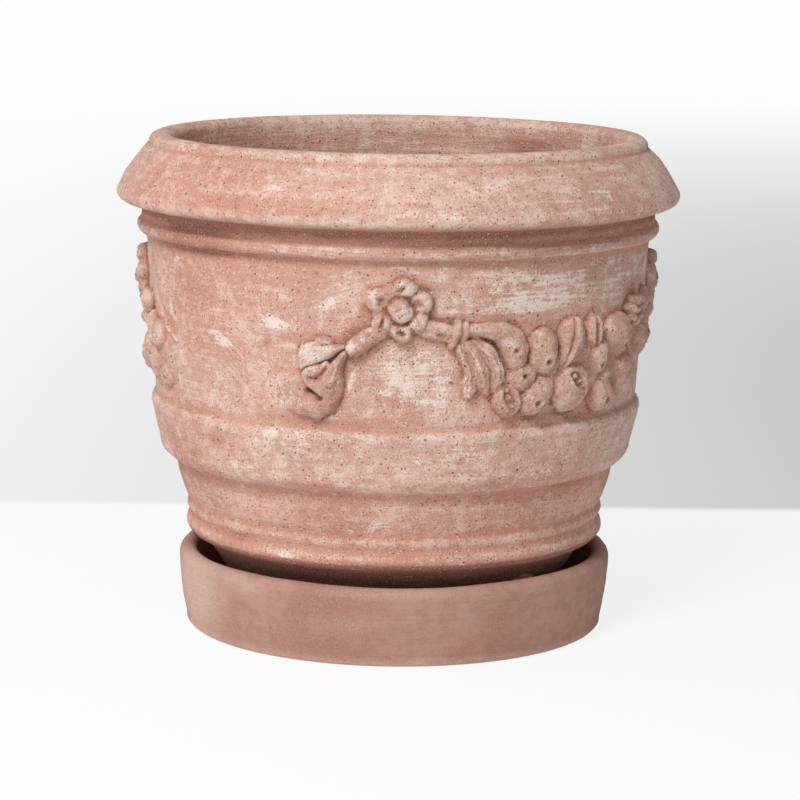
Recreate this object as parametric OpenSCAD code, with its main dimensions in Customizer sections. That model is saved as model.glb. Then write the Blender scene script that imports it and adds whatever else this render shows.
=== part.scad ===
// Terracotta flower pot with fruit garlands in relief, standing in a round saucer.
// Origin: centre of the saucer's underside. +Z up, front rosette towards -Y.
// The rim's diameter drives the others: each part stands in or out from the one above it.

/* [Pot] */
// Diameter of the rim at its widest
rim_d = 351; // [300:1:400]
// Thickness of the pot's wall
wall_t = 16; // [10:0.5:18]
// Thickness of the pot's floor
floor_t = 16; // [10:1:24]
// Diameter of the drain hole
drain_d = 25; // [12:1:40]

/* [Rim and neck] */
// How far the rim slopes in from its edge to the lip
slope_w = 20; // [14:0.5:26]
// Height of the sloping rim between its rounded edge and the lip
slope_h = 29.5; // [24:0.5:44]
// How far the sloping rim bulges
slope_bulge = 1.6; // [0:0.1:4]
// Radius of the rounded edge of the rim
nose_r = 6.2; // [4:0.1:9]
// How much the rim's underside rises from the neck to the rounded edge
rim_under_h = 2.4; // [1:0.1:5]
// Width of the lip around the mouth
lip_w = 16; // [13:0.5:18]
// Height of the lip above the sloping rim
lip_h = 6.5; // [6:0.5:10]
// Radius of the lip's rounded edges
lip_r = 6; // [2:0.5:6]
// How far the rim stands out past the top of the panel
rim_overhang = 18.5; // [14:0.5:22]
// How far the groove under the rim stands out past the top of the panel
groove_proud = 3.3; // [2:0.1:4.5]
// Height from the rim's underside down to the panel
neck_h = 19.5; // [16:0.5:24]
// How far the bead around the neck stands out past the top of the panel
neck_bead_proud = 6.2; // [5:0.1:7]
// Radius of the bead around the neck
neck_bead_r = 5; // [4:0.1:6]
// Height of the hollow between the panel and the bead around the neck
neck_cove_h = 2.7; // [2:0.1:4]

/* [Panel] */
// Height of the panel that carries the relief
panel_h = 95.5; // [80:0.5:112]
// How far the wall draws in from the top of the panel to its foot
panel_taper = 6.3; // [2:0.1:12]

/* [Band, waist and foot] */
// How far the band's top stands out past the panel's foot
band_proud = 3; // [1.5:0.1:5]
// How far the band draws in from its top to its lower edge
band_taper = 5.2; // [2:0.1:8]
// Height of the band
band_h = 45.5; // [38:0.5:60]
// Radius of the band's upper edge
band_top_r = 6; // [4:0.5:7]
// Radius of the band's lower edge
band_edge_r = 12; // [8:0.5:13]
// How far the waist lies in from the band
waist_step = 18.2; // [15:0.1:22]
// Height of the waist between the band and the two beads
waist_h = 23.5; // [16:0.5:34]
// How far the small upper bead stands out past the waist
small_bead_proud = 1.1; // [0.5:0.1:2]
// Radius of the small upper bead
small_bead_r = 4; // [3:0.1:4.5]
// How far the large lower bead stands out past the waist
large_bead_proud = 1.5; // [0.8:0.1:3]
// Radius of the large lower bead
large_bead_r = 7.5; // [6:0.1:8]
// Height of the hollow under the large bead
bead_cove_h = 3.5; // [2.5:0.1:5]
// How far the corner under the large bead lies in from the waist
under_bead_step = 11.3; // [9:0.1:13]
// Height of the tapering foot below the beads
foot_h = 41; // [36:1:60]
// How far the foot draws in from under the beads to the pot's underside
foot_taper = 25; // [12:0.5:34]

/* [Saucer] */
// Height of the saucer
saucer_h = 49; // [36:1:52]
// Gap all round between the pot's foot and the saucer's rim
saucer_gap = 7.4; // [4:0.1:16]
// Thickness of the saucer's rounded rim
saucer_rim_t = 12.5; // [9:0.5:14]
// Thickness of the saucer's wall at its foot
saucer_wall_t = 10.5; // [8:0.5:14]
// How far the saucer leans out from its flat underside to its rim
saucer_lean = 8; // [5:0.5:12]
// Thickness of the saucer's floor
saucer_floor_t = 12; // [8:1:16]

/* [Relief] */
// Diameter over a rosette's petals
rosette_d = 39; // [34:0.5:42]
// Radius of a rosette's petal
petal_r = 7; // [6:0.1:7.6]
// How far a rosette stands off the wall
rosette_t = 8; // [6:0.5:9]
// Radius of the dimple in a petal
dimple_r = 2.4; // [1.5:0.1:3]
// Distance from a rosette's petals up to the top of the panel
rosette_drop = 6.8; // [1:0.1:8]
// Width of a ribbon
ribbon_w = 9.5; // [7:0.5:11]
// How far a ribbon stands off the wall
ribbon_t = 4.5; // [3.5:0.5:6]
// Length of the knot that ties a ribbon
knot_l = 16; // [12:1:18]
// How far the boldest fruit stands off the wall
fruit_t = 9.5; // [7:0.5:11]
// How deep fruits, ribbons and leaves are pressed into the wall
press_in = 0.4; // [0.2:0.1:1]
// Clearance between neighbouring relief pieces
sprig_gap = 0.2; // [0.1:0.05:0.4]
// Thickness of the slip that a relief piece is set in
slip_t = 0.1; // [0.05:0.05:0.3]

/* [Clay pad] */
// Width of the bare clay pad on the foot
pad_w = 22; // [14:1:30]
// Height of the bare clay pad
pad_h = 16; // [10:1:18]
// Thickness of the bare clay pad
pad_t = 4.5; // [3:0.5:5]
// Direction in which the clay pad lies, in degrees round from the front
pad_turn = 44; // [0:1:359]
// Height of the clay pad's middle above the pot's underside
pad_rise = 27; // [18:1:29]

/* [Hidden] */

clay = [0.78, 0.55, 0.46];
clay_red = [0.72, 0.46, 0.36];
clay_pale = [0.84, 0.66, 0.58];
saucer_clay = [0.67, 0.45, 0.38];

// Levels above the ground, from the saucer's floor up to the lip.
foot_z = saucer_floor_t;
under_bead_z = foot_z + foot_h;
large_bead_z = under_bead_z + bead_cove_h + large_bead_r;
beads_overlap = 0.5;
small_bead_z = large_bead_z + large_bead_r + small_bead_r - beads_overlap;
waist_z = small_bead_z + small_bead_r + beads_overlap;
band_z = waist_z + waist_h;
panel_z = band_z + band_h;
neck_z = panel_z + panel_h;
rim_z = neck_z + neck_h;
nose_z = rim_z + rim_under_h + nose_r;
lip_z = nose_z + slope_h;
top_z = lip_z + lip_h;

// Radii, each from the one above it.
rim_r = rim_d / 2;
lip_out_r = rim_r - slope_w;
mouth_r = lip_out_r - lip_w;
panel_top_r = rim_r - rim_overhang;
groove_r = panel_top_r + groove_proud;
panel_foot_r = panel_top_r - panel_taper;
band_r = panel_foot_r + band_proud;
band_low_r = band_r - band_taper;
waist_r = band_low_r - waist_step;
under_bead_r = waist_r - under_bead_step;
foot_r = under_bead_r - foot_taper;
panel_slope = atan(panel_taper / panel_h);
foot_slope = atan(foot_taper / foot_h);

// Middle of each bead in the outline: how far out, and how high.
large_bead = [waist_r + large_bead_proud - large_bead_r, large_bead_z];
small_bead = [waist_r + small_bead_proud - small_bead_r, small_bead_z];
neck_bead = [panel_top_r + neck_bead_proud - neck_bead_r, neck_z + neck_cove_h + neck_bead_r];

// Roundings that are too small to show from a step away.
foot_edge_r = 3;
inner_corner_r = 8;
saucer_edge_r = 3;

// Fineness of the relief: sides round a dab of clay, and round the wall behind it.
dab_fn = 10;
small_fn = 6;
wall_fn = 124;

// Points along an arc about [cx, cy], from angle a0 to a1, in n steps.
function arc(cx, cy, r, a0, a1, n) =
    [for (i = [0:n]) let (a = a0 + (a1 - a0) * i / n) [cx + r * cos(a), cy + r * sin(a)]];

// Points from p to q along a shallow curve that stands off the straight line by the bulge.
function bow(p, q, bulge, n) =
    let (d = q - p, side = [d[1], -d[0]] / norm(d))
    [for (i = [0:n]) let (t = i / n) p + t * d + side * bulge * 4 * t * (1 - t)];

// Radius of the panel's wall at a height above the ground.
function wall_r(z) = panel_foot_r + panel_taper * (z - panel_z) / panel_h;

// Radius of the tapering foot at a height above the ground.
function taper_r(z) = foot_r + foot_taper * (z - foot_z) / foot_h;

// Height above the ground at a share of the panel's height.
function up(share) = panel_z + share * panel_h;

// Length round the wall of an angle in degrees, and the angle of a length.
function round_wall(degrees, z) = wall_r(z) * degrees * PI / 180;
function degrees_round(length, z) = length / wall_r(z) * 180 / PI;

// The right half of the pot's outer shape, filled to the axis, without its beads.
module plain_outline() {
    nose_x = rim_r - nose_r;
    slope_foot = [nose_x + nose_r * cos(36), nose_z + nose_r * sin(36)];
    polygon(concat(
        [[0, foot_z]],
        arc(foot_r - foot_edge_r, foot_z + foot_edge_r, foot_edge_r, -90, -foot_slope, 4),
        [[under_bead_r, under_bead_z]],
        [large_bead + [2, -large_bead_r + 0.6]],
        [[waist_r - 0.5, large_bead_z]],
        [[waist_r - 0.5, small_bead_z]],
        bow([waist_r, waist_z], [band_low_r - band_edge_r + 1.2, band_z], 0.8, 4),
        arc(band_low_r - band_edge_r, band_z + band_edge_r + 3, band_edge_r, -75, 0, 6),
        arc(band_r - band_top_r, panel_z - band_top_r - 1, band_top_r, 0, 66, 6),
        [[panel_foot_r, panel_z]],
        [[panel_top_r, neck_z]],
        [[panel_top_r + 0.8, neck_z + neck_cove_h - 0.8]],
        [[groove_r, neck_bead[1] - neck_cove_h]],
        [[groove_r, rim_z - 2.5]],
        [[groove_r + 0.6, rim_z]],
        arc(nose_x, nose_z, nose_r, -85, 30, 9),
        bow(slope_foot, [lip_out_r + 0.3, lip_z - 0.3], slope_bulge, 6),
        [[lip_out_r - 0.6, lip_z]],
        arc(lip_out_r - lip_r, top_z - lip_r, lip_r, 0, 90, 6),
        [[0, top_z]]
    ));
}

module beads() {
    translate(large_bead)
        circle(r = large_bead_r, $fn = 48);
    translate(small_bead)
        circle(r = small_bead_r, $fn = 48);
    translate(neck_bead)
        circle(r = neck_bead_r, $fn = 48);
}

// The hollow inside the pot, from its floor up through the mouth.
module hollow_outline() {
    floor_z = foot_z + floor_t;
    taper_wall = wall_t / cos(foot_slope);
    floor_r = taper_r(floor_z) - taper_wall;
    polygon(concat(
        [[0, floor_z]],
        arc(floor_r - inner_corner_r, floor_z + inner_corner_r, inner_corner_r, -90, -foot_slope, 5),
        [[under_bead_r - taper_wall, under_bead_z]],
        [[waist_r - wall_t, waist_z + 4]],
        [[band_low_r - wall_t, band_z + band_edge_r + 7]],
        [[panel_foot_r - wall_t, panel_z]],
        [[panel_top_r - wall_t, neck_z]],
        arc(mouth_r + lip_r, top_z - lip_r, lip_r, 180, 90, 6),
        [[mouth_r + lip_r, top_z + 1]],
        [[0, top_z + 1]]
    ));
}

module pot_body() {
    color(clay)
    difference() {
        rotate_extrude($fn = 180) {
            difference() {
                union() {
                    plain_outline();
                    beads();
                }
                hollow_outline();
            }
        }
        translate([0, 0, foot_z - 1])
            cylinder(d = drain_d, h = floor_t + 2, $fn = 48);
    }
}

module saucer() {
    outer_r = taper_r(saucer_h) + saucer_gap + saucer_rim_t;
    foot_flat_r = outer_r - saucer_lean;
    floor_flat_r = foot_flat_r + saucer_edge_r - saucer_wall_t - inner_corner_r;
    rim_round_r = saucer_rim_t / 2;
    rim_round_z = saucer_h - rim_round_r;
    color(saucer_clay)
    rotate_extrude($fn = 180)
        polygon(concat(
            [[0, 0]],
            arc(foot_flat_r, saucer_edge_r, saucer_edge_r, -90, 0, 4),
            bow([foot_flat_r + saucer_edge_r, saucer_edge_r + 1], [outer_r, rim_round_z - 1], 0.9, 5),
            arc(outer_r - rim_round_r, rim_round_z, rim_round_r, 0, 180, 14),
            arc(floor_flat_r, saucer_floor_t + inner_corner_r, inner_corner_r, -10, -90, 6),
            [[0, saucer_floor_t]]
        ));
}

// Puts its children on the panel's wall: x runs round to the right, y up and z outwards.
module on_wall(turn, z) {
    rotate([0, 0, turn])
        translate([0, -wall_r(z), z])
            rotate([90 + panel_slope, 0, 0])
                children();
}

// The same for a piece that is pressed in.
module pressed_in(turn, z) {
    on_wall(turn, z)
        translate([0, 0, -press_in])
            children();
}

// The wall and the slip on it behind a rosette: round a cylinder that fits the wall there.
module rosette_back() {
    curve_r = wall_r(rosette_z) / cos(panel_slope);
    on_wall(0, rosette_z)
        translate([0, 0, slip_t - curve_r])
            rotate([90, 0, 0])
                cylinder(r = curve_r, h = 2 * rosette_d, center = true, $fn = 180);
}

// What relief is trimmed against: the pot's outer shape, its flats just clear of the round.
module behind_relief() {
    rotate_extrude($fn = wall_fn)
        scale([1 / cos(180 / wall_fn), 1])
            union() {
                plain_outline();
                beads();
            }
}

// A rounded dab of clay, w wide, h high and standing t off the wall.
module dab(w, h, t, sides = dab_fn) {
    scale([w / 2, h / 2, t])
        sphere(r = 1, $fn = sides);
}

// A smooth fruit: hulled dabs that swell from the wall.
module fruit_shape(w, h, t) {
    hull() {
        dab(w, h, t * 0.8);
        dab(w * 0.62, h * 0.62, t);
    }
}

// Fruit with the hollow that its blossom left.
module apple(w, h, t) {
    difference() {
        fruit_shape(w, h, t);
        translate([w * 0.12, -h * 0.16, t * 1.02])
            dab(w * 0.16, h * 0.16, t * 0.3, small_fn);
    }
}

// Drop-shaped fruit that narrows to its top, with a hollow near its foot.
module pear(w, h, t) {
    difference() {
        hull() {
            translate([0, -h * 0.16, 0])
                dab(w, h * 0.68, t);
            translate([0, h * 0.36, 0])
                dab(w * 0.4, h * 0.28, t * 0.55);
        }
        translate([0, -h * 0.3, t * 0.92])
            dab(w * 0.19, h * 0.18, t * 0.3, small_fn);
    }
}

// Split fruit that shows its seeds.
module pomegranate(w, h, t) {
    difference() {
        fruit_shape(w, h, t);
        translate([w * 0.1, h * 0.1, t])
            rotate([0, 0, -50])
                dab(w * 0.62, h * 0.26, t * 0.5);
    }
    for (step = [-1:1])
        translate([w * (0.1 + step * 0.11), h * (0.1 - step * 0.13), t * 0.55])
            dab(w * 0.155, h * 0.155, t * 0.32, small_fn);
}

// Pod with raised ribs along it.
module ribbed_pod(w, h, t) {
    hull() {
        dab(w * 0.92, h * 0.9, t * 0.72);
        dab(w * 0.5, h * 0.6, t * 0.84);
    }
    for (step = [-1:1])
        translate([step * w * 0.27, 0, 0])
            hull() {
                dab(w * 0.2, h * (0.9 - 0.16 * abs(step)), t * (0.98 - 0.1 * abs(step)), small_fn);
                dab(w * 0.14, h * 0.5, t * (1.02 - 0.08 * abs(step)), small_fn);
            }
}

// Pod that has burst open to a ring.
module open_pod(w, h, t) {
    difference() {
        fruit_shape(w, h, t);
        translate([0, 0, t])
            dab(w * 0.42, h * 0.6, t * 0.6, small_fn);
    }
}

// Bunch of small berries round a middle one.
module berries(w, h, t) {
    berry = w * 0.36;
    dab(w * 0.7, h * 0.7, t * 0.7, small_fn);
    translate([0, 0, t * 0.45])
        dab(berry, berry, t * 0.55, small_fn);
    for (i = [0:5])
        rotate([0, 0, 60 * i])
            translate([w * 0.32, 0, t * 0.25])
                dab(berry, berry, t * 0.6, small_fn);
}

// Cone-shaped fruit, wide at its top.
module strawberry(w, h, t) {
    hull() {
        translate([0, h * 0.2, 0])
            dab(w, h * 0.6, t);
        translate([0, -h * 0.36, 0])
            dab(w * 0.34, h * 0.28, t * 0.6);
    }
}

// Leaf with a groove along its middle.
module leaf(w, h, t) {
    difference() {
        hull() {
            dab(w, h * 0.72, t);
            dab(w * 0.4, h, t * 0.6, small_fn);
        }
        translate([0, h * 0.04, t])
            dab(w * 0.24, h * 0.84, t * 0.42, small_fn);
    }
}

// One piece of a garland: [kind, turn, height, width, tallness, boldness, tilt]. The turn, width
// and tilt are in degrees, height and tallness are shares of the panel's height, and boldness
// is a share of the boldest fruit's.
module fruit(row, turn) {
    z = up(row[2]);
    pressed_in(turn + row[1], z)
        rotate([0, 0, row[6]]) {
            w = round_wall(row[3], z);
            h = row[4] * panel_h;
            t = row[5] * fruit_t;
            if (row[0] == "apple") apple(w, h, t);
            if (row[0] == "pear") pear(w, h, t);
            if (row[0] == "pomegranate") pomegranate(w, h, t);
            if (row[0] == "ribbed_pod") ribbed_pod(w, h, t);
            if (row[0] == "open_pod") open_pod(w, h, t);
            if (row[0] == "berries") berries(w, h, t);
            if (row[0] == "strawberry") strawberry(w, h, t);
            if (row[0] == "leaf") leaf(w, h, t);
        }
}

// A full garland hangs between two rosettes, a quarter turn apart.
full_garland = [
    ["open_pod", 23.9, 0.172, 6.2, 0.200, 0.75, 20],
    ["apple", 27.3, 0.313, 6.7, 0.180, 0.80, 12],
    ["apple", 32.3, 0.440, 7.0, 0.290, 0.95, 0],
    ["apple", 31.1, 0.188, 6.4, 0.260, 0.85, -38],
    ["ribbed_pod", 39.3, 0.490, 6.6, 0.290, 0.95, -26],
    ["pomegranate", 40.4, 0.206, 9.2, 0.300, 1, 0],
    ["leaf", 45.8, 0.548, 4.8, 0.185, 0.75, 12],
    ["apple", 47.7, 0.383, 6.6, 0.230, 0.90, -25],
    ["pear", 50.5, 0.182, 7.0, 0.300, 0.92, 6],
    ["apple", 55.0, 0.488, 9.4, 0.270, 1, 0],
    ["strawberry", 58.8, 0.260, 8.4, 0.260, 0.88, -8],
    ["berries", 62.6, 0.620, 7.8, 0.195, 0.85, 0],
    ["leaf", 66.2, 0.418, 5.6, 0.240, 0.80, 4],
    ["leaf", 71.6, 0.474, 5.0, 0.280, 0.75, -8]
];

// Low grounds of clay that the fruits are set in have rows of [turn, height, width].
garland_ground = [
    [19.5, 0.42, 0.22], [30, 0.32, 0.28], [40.5, 0.37, 0.31],
    [52, 0.34, 0.32], [62.5, 0.44, 0.29], [71.5, 0.50, 0.20]
];
ground_boldness = 0.32;

// The short cluster that hangs at the left rosette where the next garland was never finished.
left_cluster = [
    ["leaf", -73.2, 0.414, 6.3, 0.289, 0.75, 8],
    ["apple", -68.0, 0.405, 7.4, 0.231, 0.8, 0],
    ["strawberry", -71.5, 0.202, 7.8, 0.250, 0.75, 10],
    ["apple", -78.0, 0.260, 7.1, 0.222, 0.8, -20],
    ["pear", -84.0, 0.231, 6.3, 0.270, 0.7, -8],
    ["apple", -65.5, 0.231, 6.3, 0.193, 0.65, 30]
];
cluster_ground = [[-66, 0.347, 0.193], [-71, 0.289, 0.250], [-78, 0.289, 0.231], [-84, 0.250, 0.173]];

// A strap of clay runs through rows of [turn, height, width, boldness]: a width is a share of
// the panel's height, and a boldness a share of the boldest fruit's.
hanging_leaves = [
    [[13.8, 0.500, 0.055, 0.53], [15.4, 0.420, 0.080, 0.7],
        [16.0, 0.330, 0.095, 0.7], [14.9, 0.210, 0.060, 0.48]],
    [[14.8, 0.520, 0.055, 0.53], [17.3, 0.440, 0.080, 0.7],
        [18.4, 0.340, 0.095, 0.7], [17.6, 0.225, 0.060, 0.48]],
    [[17.0, 0.540, 0.055, 0.53], [20.0, 0.465, 0.080, 0.7],
        [21.8, 0.350, 0.095, 0.7], [21.2, 0.230, 0.060, 0.48]]
];

// The long bud beside the knot, from its stem to its round end.
bud = [
    [14.8, 0.595, 0.065, 0.42], [18.6, 0.600, 0.110, 0.62],
    [22.8, 0.570, 0.160, 0.85], [25.4, 0.480, 0.180, 0.95]
];

module strap(points, turn, grow = 0, sides = small_fn) {
    for (i = [0:len(points) - 2])
        hull()
            for (point = [points[i], points[i + 1]])
                pressed_in(turn + point[0], up(point[1])) {
                    w = point[2] * panel_h + 2 * grow;
                    dab(w, w, point[3] * fruit_t + grow, sides);
                }
}

rosette_z = neck_z - rosette_drop - rosette_d / 2;

// Puts its children at the six places round a rosette's ring.
module round_rosette(turn, ring_r) {
    for (i = [0:5]) {
        a = 30 + 60 * i;
        on_wall(turn + degrees_round(ring_r * cos(a), rosette_z), rosette_z + ring_r * sin(a))
            children();
    }
}

// Petals and middle of a rosette, made larger all round by grow.
module rosette_shape(turn, grow = 0) {
    middle_r = petal_r + 2;
    round_rosette(turn, rosette_d / 2 - petal_r)
        sphere(r = petal_r + grow, $fn = 24);
    on_wall(turn, rosette_z)
        translate([0, 0, rosette_t - middle_r])
            sphere(r = middle_r + grow, $fn = 24);
}

module rosette(turn) {
    color(clay_pale)
    rotate([0, 0, turn])
        difference() {
            rosette_shape(0);
            round_rosette(0, rosette_d / 2 - petal_r + 0.6)
                translate([0, 0, petal_r])
                    sphere(r = dimple_r, $fn = 16);
            rosette_back();
        }
}

// Knot of a ribbon: side is 1 to the rosette's right and -1 to its left.
knot_at = [13.0, 0.580];
knot_tilt = 18;

module knot_shape(turn, side, grow = 0) {
    roll_w = ribbon_w * 0.63 + 2 * grow;
    roll_l = knot_l / 2 + 2 * grow;
    for (roll = [-1, 1])
        hull()
            for (end = [-1, 1])
                pressed_in(turn + side * knot_at[0], up(knot_at[1]))
                    translate([side * roll * ribbon_w * 0.3, 0, 0])
                        rotate([0, 0, -side * knot_tilt])
                            translate([0, end * knot_l / 4, 0])
                                dab(roll_w, roll_l, ribbon_t * 1.4 + grow, small_fn);
}

// Ribbon from under a rosette to its knot, with a fold along its middle.
ribbon_points = [[4.8, 0.635], [7.6, 0.612], [10.2, 0.593], [12.8, 0.580]];

module ribbon_shape(turn, side) {
    for (edge = [-1, 1])
        for (i = [0:len(ribbon_points) - 2])
            hull()
                for (point = [ribbon_points[i], ribbon_points[i + 1]])
                    pressed_in(turn + side * point[0], up(point[1]) + edge * ribbon_w * 0.22)
                        dab(ribbon_w * 0.53, ribbon_w * 0.62, ribbon_t, small_fn);
    knot_shape(turn, side);
}

module ribbon(turn, side) {
    color(clay_pale)
    difference() {
        ribbon_shape(turn, side);
        rosette_shape(turn, sprig_gap + 0.3);
        behind_relief();
    }
}

module ground(rows, turn) {
    strap([for (row = rows) concat(row, [ground_boldness])], turn);
}

// A garland with its bud and hanging leaves, to the right of the rosette at this turn.
module garland(turn) {
    color(clay_pale)
    difference() {
        union() {
            for (row = full_garland)
                fruit(row, turn);
            ground(garland_ground, turn);
            strap(bud, turn, sides = dab_fn);
            for (path = hanging_leaves)
                strap(path, turn);
        }
        knot_shape(turn, 1, sprig_gap);
        knot_shape(turn + 90, -1, sprig_gap);
        behind_relief();
    }
}

module fruit_cluster_left() {
    color(clay_pale)
    difference() {
        union() {
            for (row = left_cluster)
                fruit(row, 0);
            ground(cluster_ground, 0);
        }
        knot_shape(-90, 1, sprig_gap);
        behind_relief();
    }
}

// Hanging bell-shaped fruit left of the front rosette: its body, the lobe beside it and its lip.
bell_body = [
    [-11.2, 0.414, 0.077, 0.42], [-13.3, 0.318, 0.154, 0.74],
    [-16.0, 0.226, 0.222, 0.84], [-17.2, 0.125, 0.164, 0.63]
];
bell_lobe = [[-12.5, 0.337, 0.096, 0.63], [-18.8, 0.289, 0.072, 0.53], [-19.6, 0.226, 0.063, 0.42]];
bell_lip = [[-19.8, 0.106, 0.106, 0.53], [-18.8, 0.082, 0.116, 0.63], [-16.7, 0.101, 0.106, 0.53]];
bell_slit = [-18.5, 0.188];

module bell_shape(grow = 0) {
    strap(bell_body, 0, grow, dab_fn);
    strap(bell_lobe, 0, grow);
    strap(bell_lip, 0, grow);
}

module bell_fruit() {
    color(clay_pale)
    difference() {
        bell_shape();
        pressed_in(bell_slit[0], up(bell_slit[1]))
            rotate([0, 0, -28])
                translate([0, 0, fruit_t * 0.63])
                    dab(panel_h * 0.1, panel_h * 0.045, fruit_t * 0.42, small_fn);
        knot_shape(0, -1, sprig_gap);
        behind_relief();
    }
}

// Leaf left of the front knot, folded over along its lower edge.
leaf_folds = [
    [[-15.2, 0.496, 0.063, 0.42], [-17.0, 0.511, 0.082, 0.53], [-20.4, 0.496, 0.096, 0.42]],
    [[-14.8, 0.470, 0.063, 0.42], [-16.8, 0.453, 0.096, 0.58], [-20.4, 0.414, 0.106, 0.48]],
    [[-15.4, 0.511, 0.053, 0.42], [-17.4, 0.482, 0.082, 0.53], [-20.8, 0.371, 0.082, 0.42]],
    [[-14.2, 0.453, 0.043, 0.48], [-17.6, 0.424, 0.053, 0.63], [-21.0, 0.337, 0.053, 0.53]]
];

module folded_leaf() {
    color(clay_pale)
    difference() {
        for (fold = leaf_folds)
            strap(fold, 0);
        bell_shape(sprig_gap);
        knot_shape(0, -1, sprig_gap);
        behind_relief();
    }
}

// Rough pad of clay pressed on the foot, left bare.
module clay_pad() {
    z = foot_z + pad_rise;
    color(clay_red)
    difference() {
        rotate([0, 0, pad_turn])
            translate([0, -taper_r(z), z])
                rotate([90 + foot_slope, 0, 0])
                    scale([pad_w / 2, pad_h / 2, pad_t])
                        sphere(r = 1, $fn = 24);
        rotate_extrude($fn = 180)
            polygon([[0, foot_z], [foot_r, foot_z], [under_bead_r, under_bead_z], [0, under_bead_z]]);
    }
}

saucer();
pot_body();
clay_pad();
rosette(0);  // rosette_front
rosette(90);  // rosette_right
rosette(180);  // rosette_back
rosette(270);  // rosette_left
ribbon(0, -1);  // ribbon_front_left
ribbon(0, 1);  // ribbon_front_right
ribbon(90, -1);  // ribbon_right_front
ribbon(90, 1);  // ribbon_right_back
ribbon(180, -1);  // ribbon_back_right
ribbon(180, 1);  // ribbon_back_left
ribbon(270, -1);  // ribbon_left_back
ribbon(270, 1);  // ribbon_left_front
garland(0);  // garland_front_right
garland(90);  // garland_back_right
garland(180);  // garland_back_left
fruit_cluster_left();
bell_fruit();
folded_leaf();
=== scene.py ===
"""A terracotta flower pot with fruit garlands in relief, standing in a plain saucer.

Shapes are worked out in millimetres and become meshes in metres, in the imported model's frame.
A turn is an angle in degrees round the pot from its front, to the right seen from outside, and
a height is measured up from the ground. Each piece of relief is a sheet of heights off the wall.
"""
import itertools
import math

import bpy
import numpy as np
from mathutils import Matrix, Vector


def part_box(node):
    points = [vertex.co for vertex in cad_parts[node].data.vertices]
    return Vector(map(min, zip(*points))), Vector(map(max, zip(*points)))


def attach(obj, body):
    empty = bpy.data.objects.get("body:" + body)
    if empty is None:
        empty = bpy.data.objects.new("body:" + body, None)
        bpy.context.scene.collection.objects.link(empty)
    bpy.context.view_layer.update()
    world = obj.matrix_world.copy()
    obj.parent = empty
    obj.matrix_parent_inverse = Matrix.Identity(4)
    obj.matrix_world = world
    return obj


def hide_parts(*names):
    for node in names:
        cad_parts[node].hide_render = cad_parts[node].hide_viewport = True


MM = 0.001
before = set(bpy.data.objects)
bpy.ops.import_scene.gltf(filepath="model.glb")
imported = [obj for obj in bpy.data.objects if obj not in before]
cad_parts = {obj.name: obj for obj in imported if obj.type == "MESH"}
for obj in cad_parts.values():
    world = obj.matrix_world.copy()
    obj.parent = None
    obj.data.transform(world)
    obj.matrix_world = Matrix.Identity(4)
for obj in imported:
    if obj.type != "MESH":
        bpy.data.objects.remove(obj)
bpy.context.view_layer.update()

# Levels and radii of the pot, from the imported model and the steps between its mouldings.
pot_low, pot_high = (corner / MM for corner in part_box("pot_body"))
saucer_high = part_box("saucer")[1] / MM
RIM_R = pot_high.x
TOP_Z = pot_high.z
FOOT_Z = pot_low.z
LIP_Z = TOP_Z - 6.5
NOSE_R = 6.2
NOSE_Z = LIP_Z - 29.5
RIM_Z = NOSE_Z - NOSE_R - 2.4
NECK_Z = RIM_Z - 19.5
PANEL_H = 95.5
PANEL_Z = NECK_Z - PANEL_H
BAND_Z = PANEL_Z - 45.5
WAIST_Z = BAND_Z - 23.5
UNDER_BEAD_Z = FOOT_Z + 41
LIP_R = 6
LIP_OUT_R = RIM_R - 20
MOUTH_R = LIP_OUT_R - 16
PANEL_TOP_R = RIM_R - 18.5
PANEL_FOOT_R = PANEL_TOP_R - 6.3
GROOVE_R = PANEL_TOP_R + 3.3
BAND_R = PANEL_FOOT_R + 3
BAND_LOW_R = BAND_R - 5.2
WAIST_R = BAND_LOW_R - 18.2
UNDER_BEAD_R = WAIST_R - 11.3
FOOT_R = UNDER_BEAD_R - 25
WALL_T = 16
FLOOR_Z = FOOT_Z + 16
DRAIN_R = 12.5
BEADS = [
    (WAIST_R - 6.0, UNDER_BEAD_Z + 11.0, 7.5),
    (WAIST_R - 2.9, UNDER_BEAD_Z + 22.0, 4.0),
    (PANEL_TOP_R + 1.2, NECK_Z + 7.7, 5.0),
]

# The relief's grid on the panel: degrees from column to column, millimetres from row to row.
TURN_STEP = 0.18
RISE_STEP = 0.48
COLUMNS = round(360 / TURN_STEP)
RELIEF_Z = PANEL_Z + 1.5
RELIEF_ROWS = int((PANEL_H - 3) / RISE_STEP)
MM_PER_DEGREE = math.radians(1) * (PANEL_FOOT_R + PANEL_TOP_R) / 2
UNDER_WALL = -3.0

# Bumps of the clay, each with its size along x, y and z, how far it stands out and its seed.
WALL_LUMPS = [(85, 0.55, 1), (30, 0.3, 2), ((60, 60, 6), 0.3, 3), ((40, 40, 2.6), 0.14, 4), (9, 0.14, 5),
              (4, 0.07, 6)]
PAD_LUMPS = [(3, 0.4, 51)]
SAUCER_LUMPS = [(70, 0.45, 41), ((30, 30, 8), 0.22, 42), (6, 0.1, 43)]
RELIEF_LUMPS = [(7, 0.5, 21), (3, 0.44, 22), (1.5, 0.3, 23)]
EDGE_WAVERS = [[(6.5, 0.9, 24), (2.8, 0.35, 26)], [(6.5, 0.9, 25), (2.8, 0.35, 27)]]
# How far the skins lie inside the solids on average, so that their bumps stay within the size.
WALL_INSET = 0.6
SAUCER_INSET = 0.35


def srgb(red, green, blue):
    """A colour given as it shows on a screen, from 0 to 255, as a shader's colour."""
    shown = [c / 255 for c in (red, green, blue)]
    return [c / 12.92 if c <= 0.04045 else ((c + 0.055) / 1.055) ** 2.4 for c in shown] + [1]


# Noise

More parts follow.
